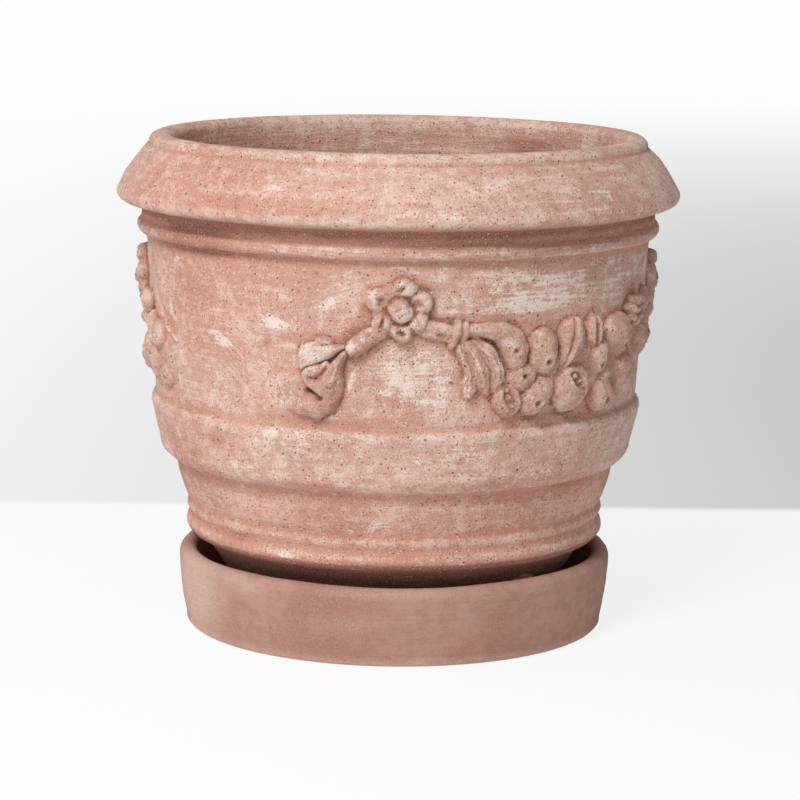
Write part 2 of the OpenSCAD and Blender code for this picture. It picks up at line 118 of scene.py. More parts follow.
def lattice(ix, iy, iz, seed):
    """A fixed value from 0 to 1 at each point of a lattice of whole numbers."""
    n = (ix * 73856093) ^ (iy * 19349663) ^ (iz * 83492791) ^ (seed * 26544357)
    n = ((n ^ (n >> 13)) * 1274126177) & 0x7FFFFFFF
    n = ((n ^ (n >> 15)) * 668265263) & 0x7FFFFFFF
    return ((n ^ (n >> 12)) & 0xFFFFF) / 0xFFFFF


def noise(points, size, seed):
    """Smooth bumps from -1 to 1, about this many millimetres long along x, y and z."""
    sizes = size if isinstance(size, tuple) else (size, size, size)
    cells = [np.asarray(c, float) / s for c, s in zip(points, sizes)]
    whole = [np.floor(c).astype(np.int64) for c in cells]
    part = [(c - w) ** 2 * (3 - 2 * (c - w)) for c, w in zip(cells, whole)]
    value = 0
    for corner in itertools.product((0, 1), repeat=3):
        share = 1
        for t, side in zip(part, corner):
            share = share * (t if side else 1 - t)
        value = value + share * lattice(*(w + c for w, c in zip(whole, corner)), seed)
    return 2 * value - 1


def lumps(points, rows):
    """A sum of bumps, from rows of size, height and seed."""
    return sum(height * noise(points, size, seed) for size, height, seed in rows)


def smooth_step(value, low, high):
    t = np.clip((value - low) / (high - low), 0, 1)
    return t * t * (3 - 2 * t)


# Outlines

def arc(middle, radius, start, end, steps):
    """Points along an arc, from one angle in degrees to another."""
    angles = np.radians(np.linspace(start, end, steps + 1))
    return [(middle[0] + radius * math.cos(a), middle[1] + radius * math.sin(a)) for a in angles]


def bow(start, end, bulge, steps):
    """Points along a shallow curve that stands off the straight line by the bulge."""
    start, end = np.array(start), np.array(end)
    side = np.array([end[1] - start[1], start[0] - end[0]]) / np.linalg.norm(end - start)
    shares = np.linspace(0, 1, steps + 1)
    return [tuple(start + t * (end - start) + side * bulge * 4 * t * (1 - t)) for t in shares]


def with_beads(outline):
    """The upright part of an outline, with the round beads standing out of it."""
    outline = np.array(outline)
    z = np.arange(outline[0, 1], outline[-1, 1], 0.2)
    r = np.interp(z, outline[:, 1], outline[:, 0])
    for bead_r, bead_z, radius in BEADS:
        inside = np.clip(radius**2 - (z - bead_z) ** 2, 0, None)
        r = np.maximum(r, np.where(inside > 0, bead_r + np.sqrt(inside), 0))
    return list(zip(r, z))


def soft_weights(softness, step, spread):
    """Offsets in steps and their bell-shaped weights, out to the spread times the softness."""
    reach = round(spread * softness / step)
    offsets = np.arange(-reach, reach + 1)
    weights = np.exp(-0.5 * (offsets * step / softness) ** 2)
    return offsets, weights / weights.sum()


def resampled(outline, pitch, softness):
    """An outline's points at an even pitch, its corners softened over this many millimetres."""
    outline = np.array(outline)
    lengths = np.linalg.norm(np.diff(outline, axis=0), axis=1)
    along = np.concatenate([[0], np.cumsum(lengths)])
    fine = 0.2
    places = np.arange(0, along[-1], fine)
    points = np.stack([np.interp(places, along, outline[:, k]) for k in (0, 1)], 1)
    offsets, weights = soft_weights(softness, fine, 3)
    padded = np.pad(points, ((offsets[-1], offsets[-1]), (0, 0)), "edge")
    soft = np.stack([np.convolve(padded[:, k], weights, "valid") for k in (0, 1)], 1)
    count = max(2, round(along[-1] / pitch))
    picks = np.linspace(0, len(soft) - 1, count + 1).round().astype(int)
    return soft[picks]


def outer_outline():
    """The pot's outside from the rim of its foot up to the inner edge of its lip."""
    foot_slope = math.degrees(math.atan2(UNDER_BEAD_R - FOOT_R, UNDER_BEAD_Z - FOOT_Z))
    nose = (RIM_R - NOSE_R, NOSE_Z)
    slope_foot = arc(nose, NOSE_R, 36, 36, 1)[0]
    upright = (
        arc((FOOT_R - 3, FOOT_Z + 3), 3, -88, -foot_slope, 6)
        + [(UNDER_BEAD_R, UNDER_BEAD_Z), (WAIST_R - 4, UNDER_BEAD_Z + 4.1)]
        + [(WAIST_R - 0.5, UNDER_BEAD_Z + 11), (WAIST_R - 0.5, UNDER_BEAD_Z + 22)]
        + bow((WAIST_R, WAIST_Z), (BAND_LOW_R - 10.8, BAND_Z), 0.8, 4)
        + arc((BAND_LOW_R - 12, BAND_Z + 15), 12, -75, 0, 10)
        + arc((BAND_R - 6, PANEL_Z - 7), 6, 0, 66, 8)
        + [(PANEL_FOOT_R, PANEL_Z), (PANEL_TOP_R, NECK_Z)]
        + [(PANEL_TOP_R + 0.8, NECK_Z + 1.9), (GROOVE_R, NECK_Z + 5.0), (GROOVE_R, RIM_Z - 2.5)]
        + [(GROOVE_R + 0.6, RIM_Z)]
        + arc(nose, NOSE_R, -85, 30, 14)
        + bow(slope_foot, (LIP_OUT_R + 0.3, LIP_Z - 0.3), 1.6, 10)
        + [(LIP_OUT_R - 0.6, LIP_Z)]
        + arc((LIP_OUT_R - LIP_R, TOP_Z - LIP_R), LIP_R, 0, 60, 6)
    )
    top = arc((LIP_OUT_R - LIP_R, TOP_Z - LIP_R), LIP_R, 66, 90, 3)
    inner = arc((MOUTH_R + LIP_R, TOP_Z - LIP_R), LIP_R, 90, 180, 8)
    return with_beads(upright) + top + inner


def inner_outline():
    """The inside from the lip down to the drain hole."""
    foot_slope = math.atan2(UNDER_BEAD_R - FOOT_R, UNDER_BEAD_Z - FOOT_Z)
    taper_wall = WALL_T / math.cos(foot_slope)
    floor_r = FOOT_R + (FLOOR_Z - FOOT_Z) * math.tan(foot_slope) - taper_wall
    corner = 8
    return (
        [(MOUTH_R, TOP_Z - LIP_R), (PANEL_TOP_R - WALL_T, NECK_Z)]
        + [(PANEL_FOOT_R - WALL_T, PANEL_Z), (BAND_LOW_R - WALL_T, BAND_Z + 19)]
        + [(WAIST_R - WALL_T, WAIST_Z + 4), (UNDER_BEAD_R - taper_wall, UNDER_BEAD_Z)]
        + arc((floor_r - corner, FLOOR_Z + corner), corner, -math.degrees(foot_slope), -90, 5)
        + [(DRAIN_R, FLOOR_Z)]
    )


def under_outline():
    """The drain hole's wall and the flat underside."""
    return [(DRAIN_R, FLOOR_Z), (DRAIN_R, FOOT_Z), (FOOT_R - 3, FOOT_Z)]


def wall_r(z):
    """Radius of the panel's wall at a height, carried on a little past its ends."""
    return PANEL_FOOT_R + (PANEL_TOP_R - PANEL_FOOT_R) * (z - PANEL_Z) / PANEL_H


def around(turn, radius):
    """Where a turn and a radius lie in plan."""
    a = np.radians(turn)
    return radius * np.sin(a), -radius * np.cos(a)


def placed(turn, radius, z):
    """Points at turns, radii and heights, one a row."""
    return np.stack([*around(turn, radius), z], -1).reshape(-1, 3)


def unevenness(turn, z, radius):
    """How far the hand-finished clay stands off its true shape, in millimetres."""
    return lumps((*around(turn, radius), z), WALL_LUMPS)


def tilted(right, up, tilt):
    """Distances right and up, in axes turned anticlockwise by the tilt."""
    c, s = math.cos(math.radians(tilt)), math.sin(math.radians(tilt))
    return c * right + s * up, c * up - s * right


# Relief

class Sheet:
    """Heights off the wall over part of the panel. Turns are counted from the origin to a side."""

    def __init__(self, origin, first, last, low=RELIEF_Z, high=NECK_Z - 1.5, side=1):
        ends = sorted((origin + side * first, origin + side * last))
        self.origin = origin
        self.side = side
        self.column = round(ends[0] / TURN_STEP)
        columns = round(ends[1] / TURN_STEP) - self.column + 1
        self.row = max(0, round((low - RELIEF_Z) / RISE_STEP))
        rows = min(RELIEF_ROWS, round((high - RELIEF_Z) / RISE_STEP)) - self.row
        self.turn = (self.column + np.arange(columns)) * TURN_STEP
        self.z = RELIEF_Z + (self.row + np.arange(rows)) * RISE_STEP
        self.height = np.full((rows, columns), UNDER_WALL)
        self.bend = (0, 0)
        self.bend = [lumps(self.grain(), waver) for waver in EDGE_WAVERS]

    def place(self, turn, z, tilt=0):
        """Distances right of and above a place, in axes turned anticlockwise by the tilt.

        They waver a little, as edges pressed by hand do.
        """
        right = (self.side * (self.turn - self.origin) - turn)[None, :] * MM_PER_DEGREE
        right = right + self.bend[0]
        return tilted(right, (self.z - z)[:, None] + self.bend[1], tilt)

    def press(self, form, softness=0.22):
        """Adds a form where it stands higher than what is there."""
        self.height = softness * np.logaddexp(self.height / softness, form / softness)

    def grain(self):
        """Places for noise, in millimetres."""
        right, up = self.place(0, 0)
        return right + 0 * up, 0 * right + self.side * 50 + self.origin, up + 0 * right

    def finish(self):
        """Gives the pressed clay its small lumps and takes the sharpest edges off."""
        raised = self.height + lumps(self.grain(), RELIEF_LUMPS)
        self.height = np.where(self.height > 0.3, raised, self.height)
        for axis in (0, 1):
            near = np.roll(self.height, 1, axis) + np.roll(self.height, -1, axis)
            self.height = 0.5 * self.height + 0.25 * near


def dome(u, v, width, height, proud, edge=2.0, fullness=0.5):
    """A rounded oval lump that falls away outside its edge."""
    d = np.hypot(2 * u / width, 2 * v / height)
    rise = np.clip(1 - d**edge, 0, None) ** fullness * proud
    return np.where(d < 1, rise, (1 - d) * min(width, height) / 2)


def pit(u, v, width, depth):
    """How deep a round pit with soft sides is."""
    return depth * np.exp(-((2 * np.hypot(u, v) / width) ** 2))


def hollow(u, v, width, tall, depth):
    """How deep an oval hollow with a flat floor is."""
    return depth * np.exp(-(np.hypot(2 * u / width, 2 * v / tall) ** 3))


def calyx(u, v, width, depth):
    """A pit with a low ring of clay pushed up round it."""
    ring = np.exp(-(((np.hypot(u, v) - 0.85 * width) / (0.35 * width)) ** 2))
    return pit(u, v, width, depth) - 0.22 * depth * ring


def crease(u, v, start, end, width, depth):
    """How deep a straight scored line is."""
    x0, y0 = start
    dx, dy = end[0] - x0, end[1] - y0
    along = np.clip(((u - x0) * dx + (v - y0) * dy) / (dx * dx + dy * dy), 0, 1)
    off = np.hypot(u - x0 - along * dx, v - y0 - along * dy)
    return depth * np.exp(-((2 * off / width) ** 2))


def apple(u, v, w, h, proud):
    eye = (0.04 * w, -0.16 * h)
    return dome(u, v, w, h, proud) - calyx(u - eye[0], v - eye[1], 3.2, 2.6)


def star_apple(u, v, w, h, proud):
    form = dome(u, v, w, h, proud)
    for ray in range(5):
        a = math.radians(90 + 72 * ray)
        form = form - crease(u, v, (0, 0), (3.6 * math.cos(a), 3.6 * math.sin(a)), 1.5, 1.0)
    return form - pit(u, v, 3, 1.2)


def ribbed_pod(u, v, w, h, proud):
    """A pod that narrows to its lower end, with folds along it."""
    narrow = 0.42 + 0.58 * smooth_step(v / h, -0.55, 0.15)
    body = dome(u / narrow, v, w, h, proud)
    across = 2 * u / (w * narrow)
    folds = 1 - np.abs(np.cos(math.pi * 1.5 * (across - 0.12)))
    return body - 2.4 * folds**1.5 * smooth_step(body, 0, 4)


def open_pod(u, v, w, h, proud):
    """A pod whose husk has burst open along its middle."""
    body = dome(u, v, w, h, proud)
    split = np.hypot((u - 0.05 * w) / (0.2 * w), v / (0.36 * h))
    form = body - 0.62 * proud * np.exp(-(split**4))
    for place in (-0.2, 0.02, 0.22):
        form = np.maximum(form, dome(u - 0.05 * w, v - place * h, 3.6, 4.2, 0.66 * proud))
    return form


def pomegranate(u, v, w, h, proud):
    """A split fruit: three seeds in a slit with raised lips, and a crease that runs down from it."""
    body = dome(u, v, w, h, proud, 2.3)
    across, along = tilted(u - 0.08 * w, v - 0.12 * h, 52)
    split = np.hypot(across / 3.6, along / 8.2)
    form = body - 3.6 * np.exp(-(split**4))
    lips = np.exp(-(((split - 1.2) / 0.24) ** 2))
    form = form + 1.1 * lips * smooth_step(body, 1, 5)
    for place in (-4.6, 0.1, 4.8):
        form = np.maximum(form, dome(across, along - place, 4.9, 4.7, proud - 0.3))
    return form - crease(u, v, (0.2 * w, -0.1 * h), (0.36 * w, -0.34 * h), 2.2, 1.5)


def pear(u, v, w, h, proud):
    low = dome(u, v + 0.14 * h, w, 0.72 * h, proud)
    neck = dome(u - 0.06 * w, v - 0.2 * h, 0.66 * w, 0.62 * h, 0.78 * proud)
    return np.logaddexp(low, neck) - calyx(u - 0.04 * w, v + 0.24 * h, 3.4, 3.2)


def berries(u, v, w, h, proud):
    form = dome(u, v, 0.9 * w, 0.9 * h, 0.62 * proud)
    for berry in range(8):
        a = math.radians(51.4 * berry + 12)
        reach = 0.3 if berry < 7 else 0
        x, y = reach * w * math.cos(a), reach * h * math.sin(a)
        form = np.maximum(form, dome(u - x, v - y, 0.38 * w, 0.36 * h, (0.86 + reach / 3) * proud))
    return form - pit(u, v - 0.12 * h, 2, 1.5)


def strawberry(u, v, w, h, proud):
    """A fruit that narrows to its lower end."""
    narrow = 0.5 + 0.5 * smooth_step(v / h, -0.5, 0.25)
    body = dome(u / narrow, v, w, h, proud)
    seeds = np.cos(u * 1.9 + v * 1.1) * np.cos(u * 1.9 - v * 1.1)
    return body + 0.25 * seeds * smooth_step(body, 1, 4)


def leaf(u, v, w, h, proud):
    """A leaf folded along its middle, with its edges standing up."""
    share = np.clip(1 - np.abs(2 * v / h) ** 2.4, 0.02, 1)
    across = 2 * u / (w * share)
    rise = proud * np.clip(1 - np.abs(across) ** 3, 0, None) ** 0.5 * share**0.4
    vein = 0.5 * proud * np.exp(-((across / 0.3) ** 2))
    return np.where(np.abs(across) < 1, rise - vein * share, UNDER_WALL)


def strap(sheet, points, grooves=(), groove_depth=1.0, groove_width=0.16):
    """A strip of clay along rows of turn, height, width and how far it stands out.

    Each groove runs lengthwise at a share of the half width, from -1 to 1.
    """
    form = np.full(sheet.height.shape, UNDER_WALL)
    for (t0, z0, w0, p0), (t1, z1, w1, p1) in zip(points, points[1:]):
        u, v = sheet.place(t0, z0)
        dx, dy = (t1 - t0) * MM_PER_DEGREE, z1 - z0
        length = math.hypot(dx, dy)
        along = np.clip((u * dx + v * dy) / length**2, 0, 1)
        off_u, off_v = u - along * dx, v - along * dy
        half = (w0 + along * (w1 - w0)) / 2
        across = np.hypot(off_u, off_v) / half
        signed = across * np.sign(off_v * dx - off_u * dy)
        proud = p0 + along * (p1 - p0)
        rise = proud * np.clip(1 - across**2.6, 0, None) ** 0.6
        for groove in grooves:
            rise = rise - groove_depth * np.exp(-(((signed - groove) / groove_width) ** 2))
        form = np.maximum(form, np.where(across < 1, rise, (1 - across) * half))
    return form


def smooth_line(points, steps=5):
    """Rows along a curve through the given rows, with the steps between two of them."""
    points = [np.array(p, float) for p in points]
    points = [2 * points[0] - points[1]] + points + [2 * points[-1] - points[-2]]
    rows = []
    for a, b, c, d in zip(points, points[1:], points[2:], points[3:]):
        for t in np.arange(steps) / steps:
            bend = (2 * a - 5 * b + 4 * c - d) * t**2 + (3 * b - a - 3 * c + d) * t**3
            rows.append(0.5 * (2 * b + (c - a) * t + bend))
    return rows + [points[-2]]


def press_strap(sheet, points, softness=0.22, **grooves):
    """Presses a strip of clay along the smooth curve through its rows."""
    sheet.press(strap(sheet, smooth_line(points), **grooves), softness)


def plate(sheet, corners, proud, edge, tilt_up=0.0):
    """A flat piece of clay with the given corners, as turns and heights, listed clockwise."""
    u, v = sheet.place(0, 0)
    depth = np.full(sheet.height.shape, 1e3)
    points = [(t * MM_PER_DEGREE, z) for t, z in corners]
    for (x0, y0), (x1, y1) in zip(points, points[1:] + points[:1]):
        length = math.hypot(x1 - x0, y1 - y0)
        inside = ((v - y0) * (x1 - x0) - (u - x0) * (y1 - y0)) / -length
        depth = np.minimum(depth, inside)
    rise = proud * (1 - np.exp(-np.clip(depth, 0, None) / edge)) + tilt_up * (v - points[0][1])
    return np.where(depth > 0, rise, depth)


# A whole garland: kind, turn, height, width, tallness, how far it stands out, tilt. The strips of
# clay under it and beside it have rows of turn, height, width and how far they stand out.
GARLAND = [
    (open_pod, 24.6, 164.4, 19, 23, 7.8, 18),
    (star_apple, 28.0, 178.0, 21, 19, 8.6, 10),
    (apple, 32.8, 190.8, 22.5, 30, 10.4, 0),
    (apple, 31.9, 166.0, 20, 29, 9.4, -38),
    (ribbed_pod, 40.2, 194.6, 23, 33, 10.4, -20),
    (pomegranate, 41.2, 168.8, 31, 32, 10.6, 0),
    (leaf, 47.4, 200.6, 15, 22, 9.0, 4),
    (apple, 49.6, 184.8, 20.5, 24, 9.8, -22),
    (pear, 51.8, 165.6, 21, 32, 9.6, 4),
    (apple, 56.9, 195.0, 30, 29, 10.8, 0),
    (strawberry, 59.8, 172.8, 27, 25, 9.6, -4),
    (berries, 65.0, 208.0, 25, 22, 9.0, 0),
    (apple, 68.6, 188.8, 20, 25, 9.0, 0),
    (pear, 74.5, 194.0, 15, 26, 8.0, -8),
    (apple, 73.6, 212.6, 14, 15, 6.6, 0),
]
GARLAND_GROUND = [
    (20, 188, 14, 3.0), (27, 178, 24, 4.0), (36, 181, 36, 4.4), (46, 181, 40, 4.6),
    (56, 183, 38, 4.6), (64, 192, 32, 4.4), (71, 201, 24, 3.8), (76, 205, 13, 2.6),
]
BUD = [(14.0, 206.4, 8, 5.2), (18.0, 206.2, 10, 6.4), (22.0, 204.2, 14.5, 8.2), (24.8, 198.8, 18, 9.6),
       (25.7, 191.6, 18, 9.8), (25.9, 185.6, 12, 7.8)]
HANGING_LEAVES = [
    [(12.8, 200.0, 4.5, 3.8), (13.3, 194.2, 6, 5.2), (14.6, 187.4, 7, 5.8), (15.5, 178.6, 8, 5.6),
     (15.8, 171.6, 10, 4.8), (14.9, 167.4, 4, 3.2)],
    [(14.0, 201.0, 5.5, 4.6), (16.0, 193.4, 8.6, 6.8), (17.6, 184.0, 10, 7.8), (18.6, 175.6, 9.6, 6.8),
     (19.3, 168.6, 5.5, 4.8)],
    [(15.6, 201.0, 6, 5.2), (19.0, 194.0, 10, 7.8), (20.9, 185.2, 10.6, 8.6), (21.7, 177.2, 10, 7.6),
     (21.2, 170.2, 6, 5.2)],
]
LEFT_CLUSTER = [
    (leaf, -73.6, 190, 15, 24, 6.2, 14),
    (apple, -69.4, 188, 15, 19, 6.0, 0),
    (strawberry, -72.0, 170, 19, 24, 6.8, 10),
    (apple, -78.2, 176, 18, 22, 7.4, -20),
    (pear, -84.2, 173, 16, 26, 7.0, -8),
    (apple, -66.4, 165, 16, 20, 5.0, 30),
    (apple, -80.0, 196, 13, 15, 6.6, 0),
]
CLUSTER_GROUND = [(-64, 172, 16, 1.6), (-70, 177, 26, 2.4), (-78, 180, 28, 2.6), (-84, 178, 22, 2.0)]
# The torn edge of the wiped wall that overlaps the cluster.
WALL_EDGE = [(-71.0, 216, 2.4, 1.4), (-68.2, 208, 3.2, 2.6), (-64.9, 199.6, 3.6, 3.0),
             (-62.4, 192.6, 3.4, 2.6), (-60.6, 187.0, 2.4, 1.2)]

# A rosette's middle, its petals and the hollows pressed into them: turn, height, width, tallness,
# then how far each petal stands out, or the tilt and depth of each hollow.
ROSETTE_MIDDLE = (0.4, 217.9)
PETALS = [
    (1.0, 231.0, 16.2, 13.4, 7.8), (4.6, 222.6, 13.4, 14.0, 7.4), (3.9, 211.4, 12.6, 13.2, 7.2),
    (0.6, 205.7, 13.2, 13.0, 7.6), (-3.4, 210.2, 14.0, 14.0, 7.2), (-4.3, 223.8, 15.8, 14.4, 7.0),
]
HOLLOWS = [
    (0.3, 231.0, 7.6, 2.6, 31, 3.6), (0.4, 228.4, 5.0, 3.2, 31, 2.4), (3.6, 222.2, 4.4, 5.4, 0, 3.8),
    (4.2, 211.8, 1.6, 5.0, 30, 1.2), (0.5, 205.3, 4.4, 4.8, 0, 4.0), (-3.5, 210.4, 2.2, 11.0, -9, 3.6),
    (-3.5, 223.6, 6.2, 6.0, 0, 3.6),
]


def rosette(sheet):
    """Six petals with a hollow each, and a flat middle that was wiped over."""
    u, v = sheet.place(0.2, 218.4)
    sheet.press(dome(u, v, 33, 34, 4.4, 6, 0.6), 0.3)
    press_strap(sheet, [(-4.4, 224.4, 13, 5.4), (-5.8, 225.2, 11, 3.4), (-6.9, 225.8, 8, 0.9)], 0.4)
    for turn, z, width, tall, proud in PETALS:
        u, v = sheet.place(turn, z)
        sheet.press(dome(u, v, width, tall, proud, 2.6, 0.5), 0.25)
    for turn, z, width, tall, tilt, depth in HOLLOWS:
        u, v = sheet.place(turn, z, tilt)
        sheet.height -= hollow(u, v, width, tall, depth)
    u, v = sheet.place(*ROSETTE_MIDDLE, 20)
    sheet.height -= 1.5 * np.exp(-(((np.hypot(u, v) - 8.0) / 1.3) ** 2))
    sheet.press(dome(u, v, 14.8, 14.0, 8.6, 4.0, 0.4), 0.1)
    wiped = noise((u * 0.2, 0 * u, v), (4, 4, 1.0), 31)
    sheet.height += 0.5 * wiped * smooth_step(sheet.height, 5.5, 7.5)


def ribbon(sheet):
    """A strap of clay from the rosette out to a knot of two rolls."""
    line = [(4.0, 209.0, 9, 4.4), (6.6, 207.2, 11, 5.4), (9.4, 205.2, 12, 5.4), (11.6, 204.0, 12, 5.8)]
    press_strap(sheet, line, grooves=(-0.1,), groove_depth=1.1, groove_width=0.3)
    u, v = sheet.place(9.4, 202.6, -25)
    sheet.height -= hollow(u, v, 7.2, 4.4, 2.2)
    for roll in ([(12.6, 210.6, 6, 5.4), (12.2, 204.4, 8, 7.4), (11.2, 197.2, 5.5, 4.6)],
                 [(14.4, 209.2, 5.5, 5.4), (14.2, 204.8, 6.8, 6.8), (13.8, 200.4, 5, 4.8)]):
        press_strap(sheet, roll)


def front_left_ribbon(sheet):
    """The thicker strap left of the front rosette, with its blunt end hanging over the bell."""
    press_strap(sheet, [(-3.6, 206.6, 9, 5.2), (-5.6, 203.4, 10.5, 7.2), (-7.6, 199.8, 12, 8.0),
                        (-9.3, 196.2, 11.5, 7.6), (-9.7, 193.4, 8, 6.2)])
    for turn, z, size, depth in ((-6.2, 204.0, 3.4, 1.8), (-7.2, 198.2, 4.4, 1.5), (-9.6, 199.4, 3, 0.8)):
        u, v = sheet.place(turn, z)
        sheet.height -= pit(u, v * 1.2, size, depth)


def bell(sheet):
    """The hanging bell-shaped fruit: a flank that rises from the wall, a ridge, a slit and a ball."""
    u, v = sheet.place(-28.5, 165, -12)
    flank = plate(sheet, [(-28.5, 172), (-22.3, 180), (-15, 176), (-15.5, 160), (-20.0, 152.6),
                          (-23.3, 154.6), (-26.5, 157.4), (-28.5, 161)], 6.6, 1.6)
    sheet.press(np.where(flank > 0, flank * smooth_step(u, -2, 24), flank))
    body = [(-11.4, 192.0, 4.5, 4.8), (-13.4, 184.6, 9, 6.6), (-14.8, 176, 16, 8.0),
            (-16.2, 167, 19, 8.6), (-18.4, 160, 17, 8.0)]
    press_strap(sheet, body)
    lobe = [(-15.6, 185.4, 6, 5.6), (-18.4, 181.2, 8.5, 6.6), (-20.6, 177.8, 8, 6.0),
            (-19.6, 173.0, 6, 5.6)]
    press_strap(sheet, lobe, 0.5)
    ridge = [(-11.8, 190.4, 3.2, 6.6), (-12.6, 186.6, 4.0, 8.8), (-13.4, 181, 4.6, 9.8),
             (-14.2, 174, 5.4, 9.8), (-15.0, 167, 6, 9.2)]
    press_strap(sheet, ridge, 0.5)
    u, v = sheet.place(-18.2, 167.2)
    sheet.height -= crease(u, v, (-3.9, 1.9), (3.9, -1.9), 3.2, 4.8)
    sheet.height -= pit(u + 3.9, v - 1.9, 3.0, 2.2)
    for start, end, depth in (((-10.5, 12.0), (-4.0, 3.0), 1.8), ((9.5, 20.5), (3.0, 10.0), 1.6)):
        sheet.height -= crease(u, v, start, end, 1.9, depth)
    u, v = sheet.place(-19.6, 160.4)
    sheet.press(dome(u, v, 13, 11.5, 8.6) - pit(u, v, 2.6, 2.6), 0.6)
    u, v = sheet.place(-15.6, 172)
    sheet.height += 0.7 * noise((u, v, 0 * u), 3.0, 33) * smooth_step(sheet.height, 3, 6)


def folded_leaf(sheet):
    """A flat pale leaf, broader at its left end, with a thin shadowed edge over the bell."""
    sheet.press(plate(sheet, [(-21.6, 197.8), (-17.9, 199.0), (-11.6, 197.4), (-11.0, 194.6),
                              (-15.2, 188.0), (-18.6, 182.8), (-22.2, 179.8), (-22.6, 189.3)],
                      6.8, 1.2, 0.03))
    u, v = sheet.place(-16.3, 198.8)
    sheet.press(dome(u, v, 12, 6.0, 5.8))
    u, v = sheet.place(-17.6, 190.4, 38)
    sheet.height += 0.35 * noise((u * 0.4, v, 0 * u), 3.4, 35) * smooth_step(sheet.height, 4, 6)


def fruits(sheet, rows, ground):
    press_strap(sheet, ground, 0.5)
    for kind, turn, z, width, tall, proud, tilt in rows:
        u, v = sheet.place(turn, z, tilt)
        sheet.press(kind(u, v, width, tall, proud))


def garland(sheet):
    fruits(sheet, GARLAND, GARLAND_GROUND)
    for path in HANGING_LEAVES:
        press_strap(sheet, path, grooves=(-0.45, 0.3), groove_depth=2.0)
    u, v = sheet.place(14.0, 181.5)
    sheet.height -= hollow(u, v, 2.2, 5.2, 2.6)
    press_strap(sheet, BUD, grooves=(-0.4, 0.45), groove_depth=0.5, groove_width=0.14)
    u, v = sheet.place(25.1, 194.2)
    sheet.height -= calyx(u, v, 3.4, 2.4)
    u, v = sheet.place(14.6, 201.6)
    sheet.height -= crease(u, v, (0, 0), (14.5, -2.6), 2.0, 2.4)


def left_cluster(sheet):
    """The unfinished garland's last fruits, with the torn edge of the wiped wall over them."""
    fruits(sheet, LEFT_CLUSTER, CLUSTER_GROUND)
    press_strap(sheet, WALL_EDGE)


# Names of the rosettes and garlands, and the turn that each starts from.
ROSETTES = [
    ("front", 0, "left", "right"), ("right", 90, "front", "back"),
    ("back", 180, "right", "left"), ("left", 270, "back", "front"),
]
GARLANDS = [("front_right", 0), ("back_right", 90), ("back_left", 180)]


def relief_sheets():
    """Every piece of relief, as a sheet under the name of its node."""
    sheets = {}

    def press(name, form, *extent):
        sheets[name] = Sheet(*extent)
        form(sheets[name])
        sheets[name].finish()

    for name, origin, left, right in ROSETTES:
        press(f"rosette_{name}", rosette, origin, -10, 10, 194, 240)
        for side, neighbour in ((-1, left), (1, right)):
            if (origin, side) != (0, -1):
                press(f"ribbon_{name}_{neighbour}", ribbon, origin, 2.5, 17.5, 184, 222, side)
    for name, origin in GARLANDS:
        press(f"garland_{name}", garland, origin, 11, 80)
    press("ribbon_front_left", front_left_ribbon, 0, -14, -2, 182, 214)
    press("fruit_cluster_left", left_cluster, 0, -92, -58)
    press("bell_fruit", bell, 0, -30, -8)
    press("folded_leaf", folded_leaf, 0, -26, -8, 172, 206)
    return sheets


def softened(heights, softness):
    """Heights of the whole panel, softened over this many millimetres."""
    for axis, step in ((0, RISE_STEP), (1, TURN_STEP * MM_PER_DEGREE)):
        offsets, weights = soft_weights(softness, step, 2.5)
        heights = sum(w * np.roll(heights, o, axis) for w, o in zip(weights, offsets))
    return heights


PANEL_MARGIN = 12


class Panel:
    """The relief of the whole panel taken together, for what the wall does round it.

    Skirt is clay smeared up against the relief, in millimetres. The corner sheet and the halo are
    the red left in corners and close to the relief together with painted shade, and crest is where
    high spots were wiped pale.
    """

    def __init__(self, sheets):
        standing = np.zeros((RELIEF_ROWS + 2 * PANEL_MARGIN, COLUMNS))
        for sheet in sheets.values():
            rows, columns = sheet.height.shape
            cells = np.ix_(sheet.row + PANEL_MARGIN + np.arange(rows),
                           (sheet.column + np.arange(columns)) % COLUMNS)
            standing[cells] = np.maximum(standing[cells], sheet.height)
        near = softened(standing, 1.6)
        self.skirt = 0.9 * softened((standing > 0.6).astype(float), 1.4)
        self.red_and_shade = np.clip((near - standing) / 1.2, 0, 1.3)
        self.halo = np.clip(softened(standing, 4.5) / 8, 0, 0.45)
        self.crest = np.clip((standing - near) / 0.8, 0, 1)

    def at(self, heights, turn, z):
        """One of the panel's sheets read at places round the pot, nothing outside the panel."""
        row = (z - RELIEF_Z) / RISE_STEP + PANEL_MARGIN
        inside = (row > 0) & (row < heights.shape[0] - 1)
        row = np.clip(row.round().astype(int), 0, heights.shape[0] - 1)
        column = (turn / TURN_STEP).round().astype(int) % COLUMNS
        return np.where(inside, heights[row, column], 0)


# Meshes

def add_object(name, data):
    made = bpy.data.objects.new(name, data)
    bpy.context.scene.collection.objects.link(made)
    return made


def make_piece(name, points, faces, masks, finish, body, node):
    """A smooth mesh object from points in millimetres, riding on a body in place of its node."""
    mesh = bpy.data.meshes.new(name)
    mesh.vertices.add(len(points))
    mesh.vertices.foreach_set("co", (points * MM).astype(np.float32).ravel())
    mesh.loops.add(faces.size)
    mesh.loops.foreach_set("vertex_index", faces.ravel().astype(np.int32))
    mesh.polygons.add(len(faces))
    mesh.polygons.foreach_set("loop_start", np.arange(0, faces.size, 4, dtype=np.int32))
    mesh.polygons.foreach_set("use_smooth", np.ones(len(faces), bool))
    mesh.update(calc_edges=True)
    for mask, values in masks.items():
        kind, field = ("FLOAT_VECTOR", "vector") if mask == "unrolled" else ("FLOAT", "value")
        attribute = mesh.attributes.new(mask, kind, "POINT")
        attribute.data.foreach_set(field, values.astype(np.float32).ravel())
    mesh.materials.append(finish)
    piece = add_object(name, mesh)
    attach(piece, body)
    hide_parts(node)


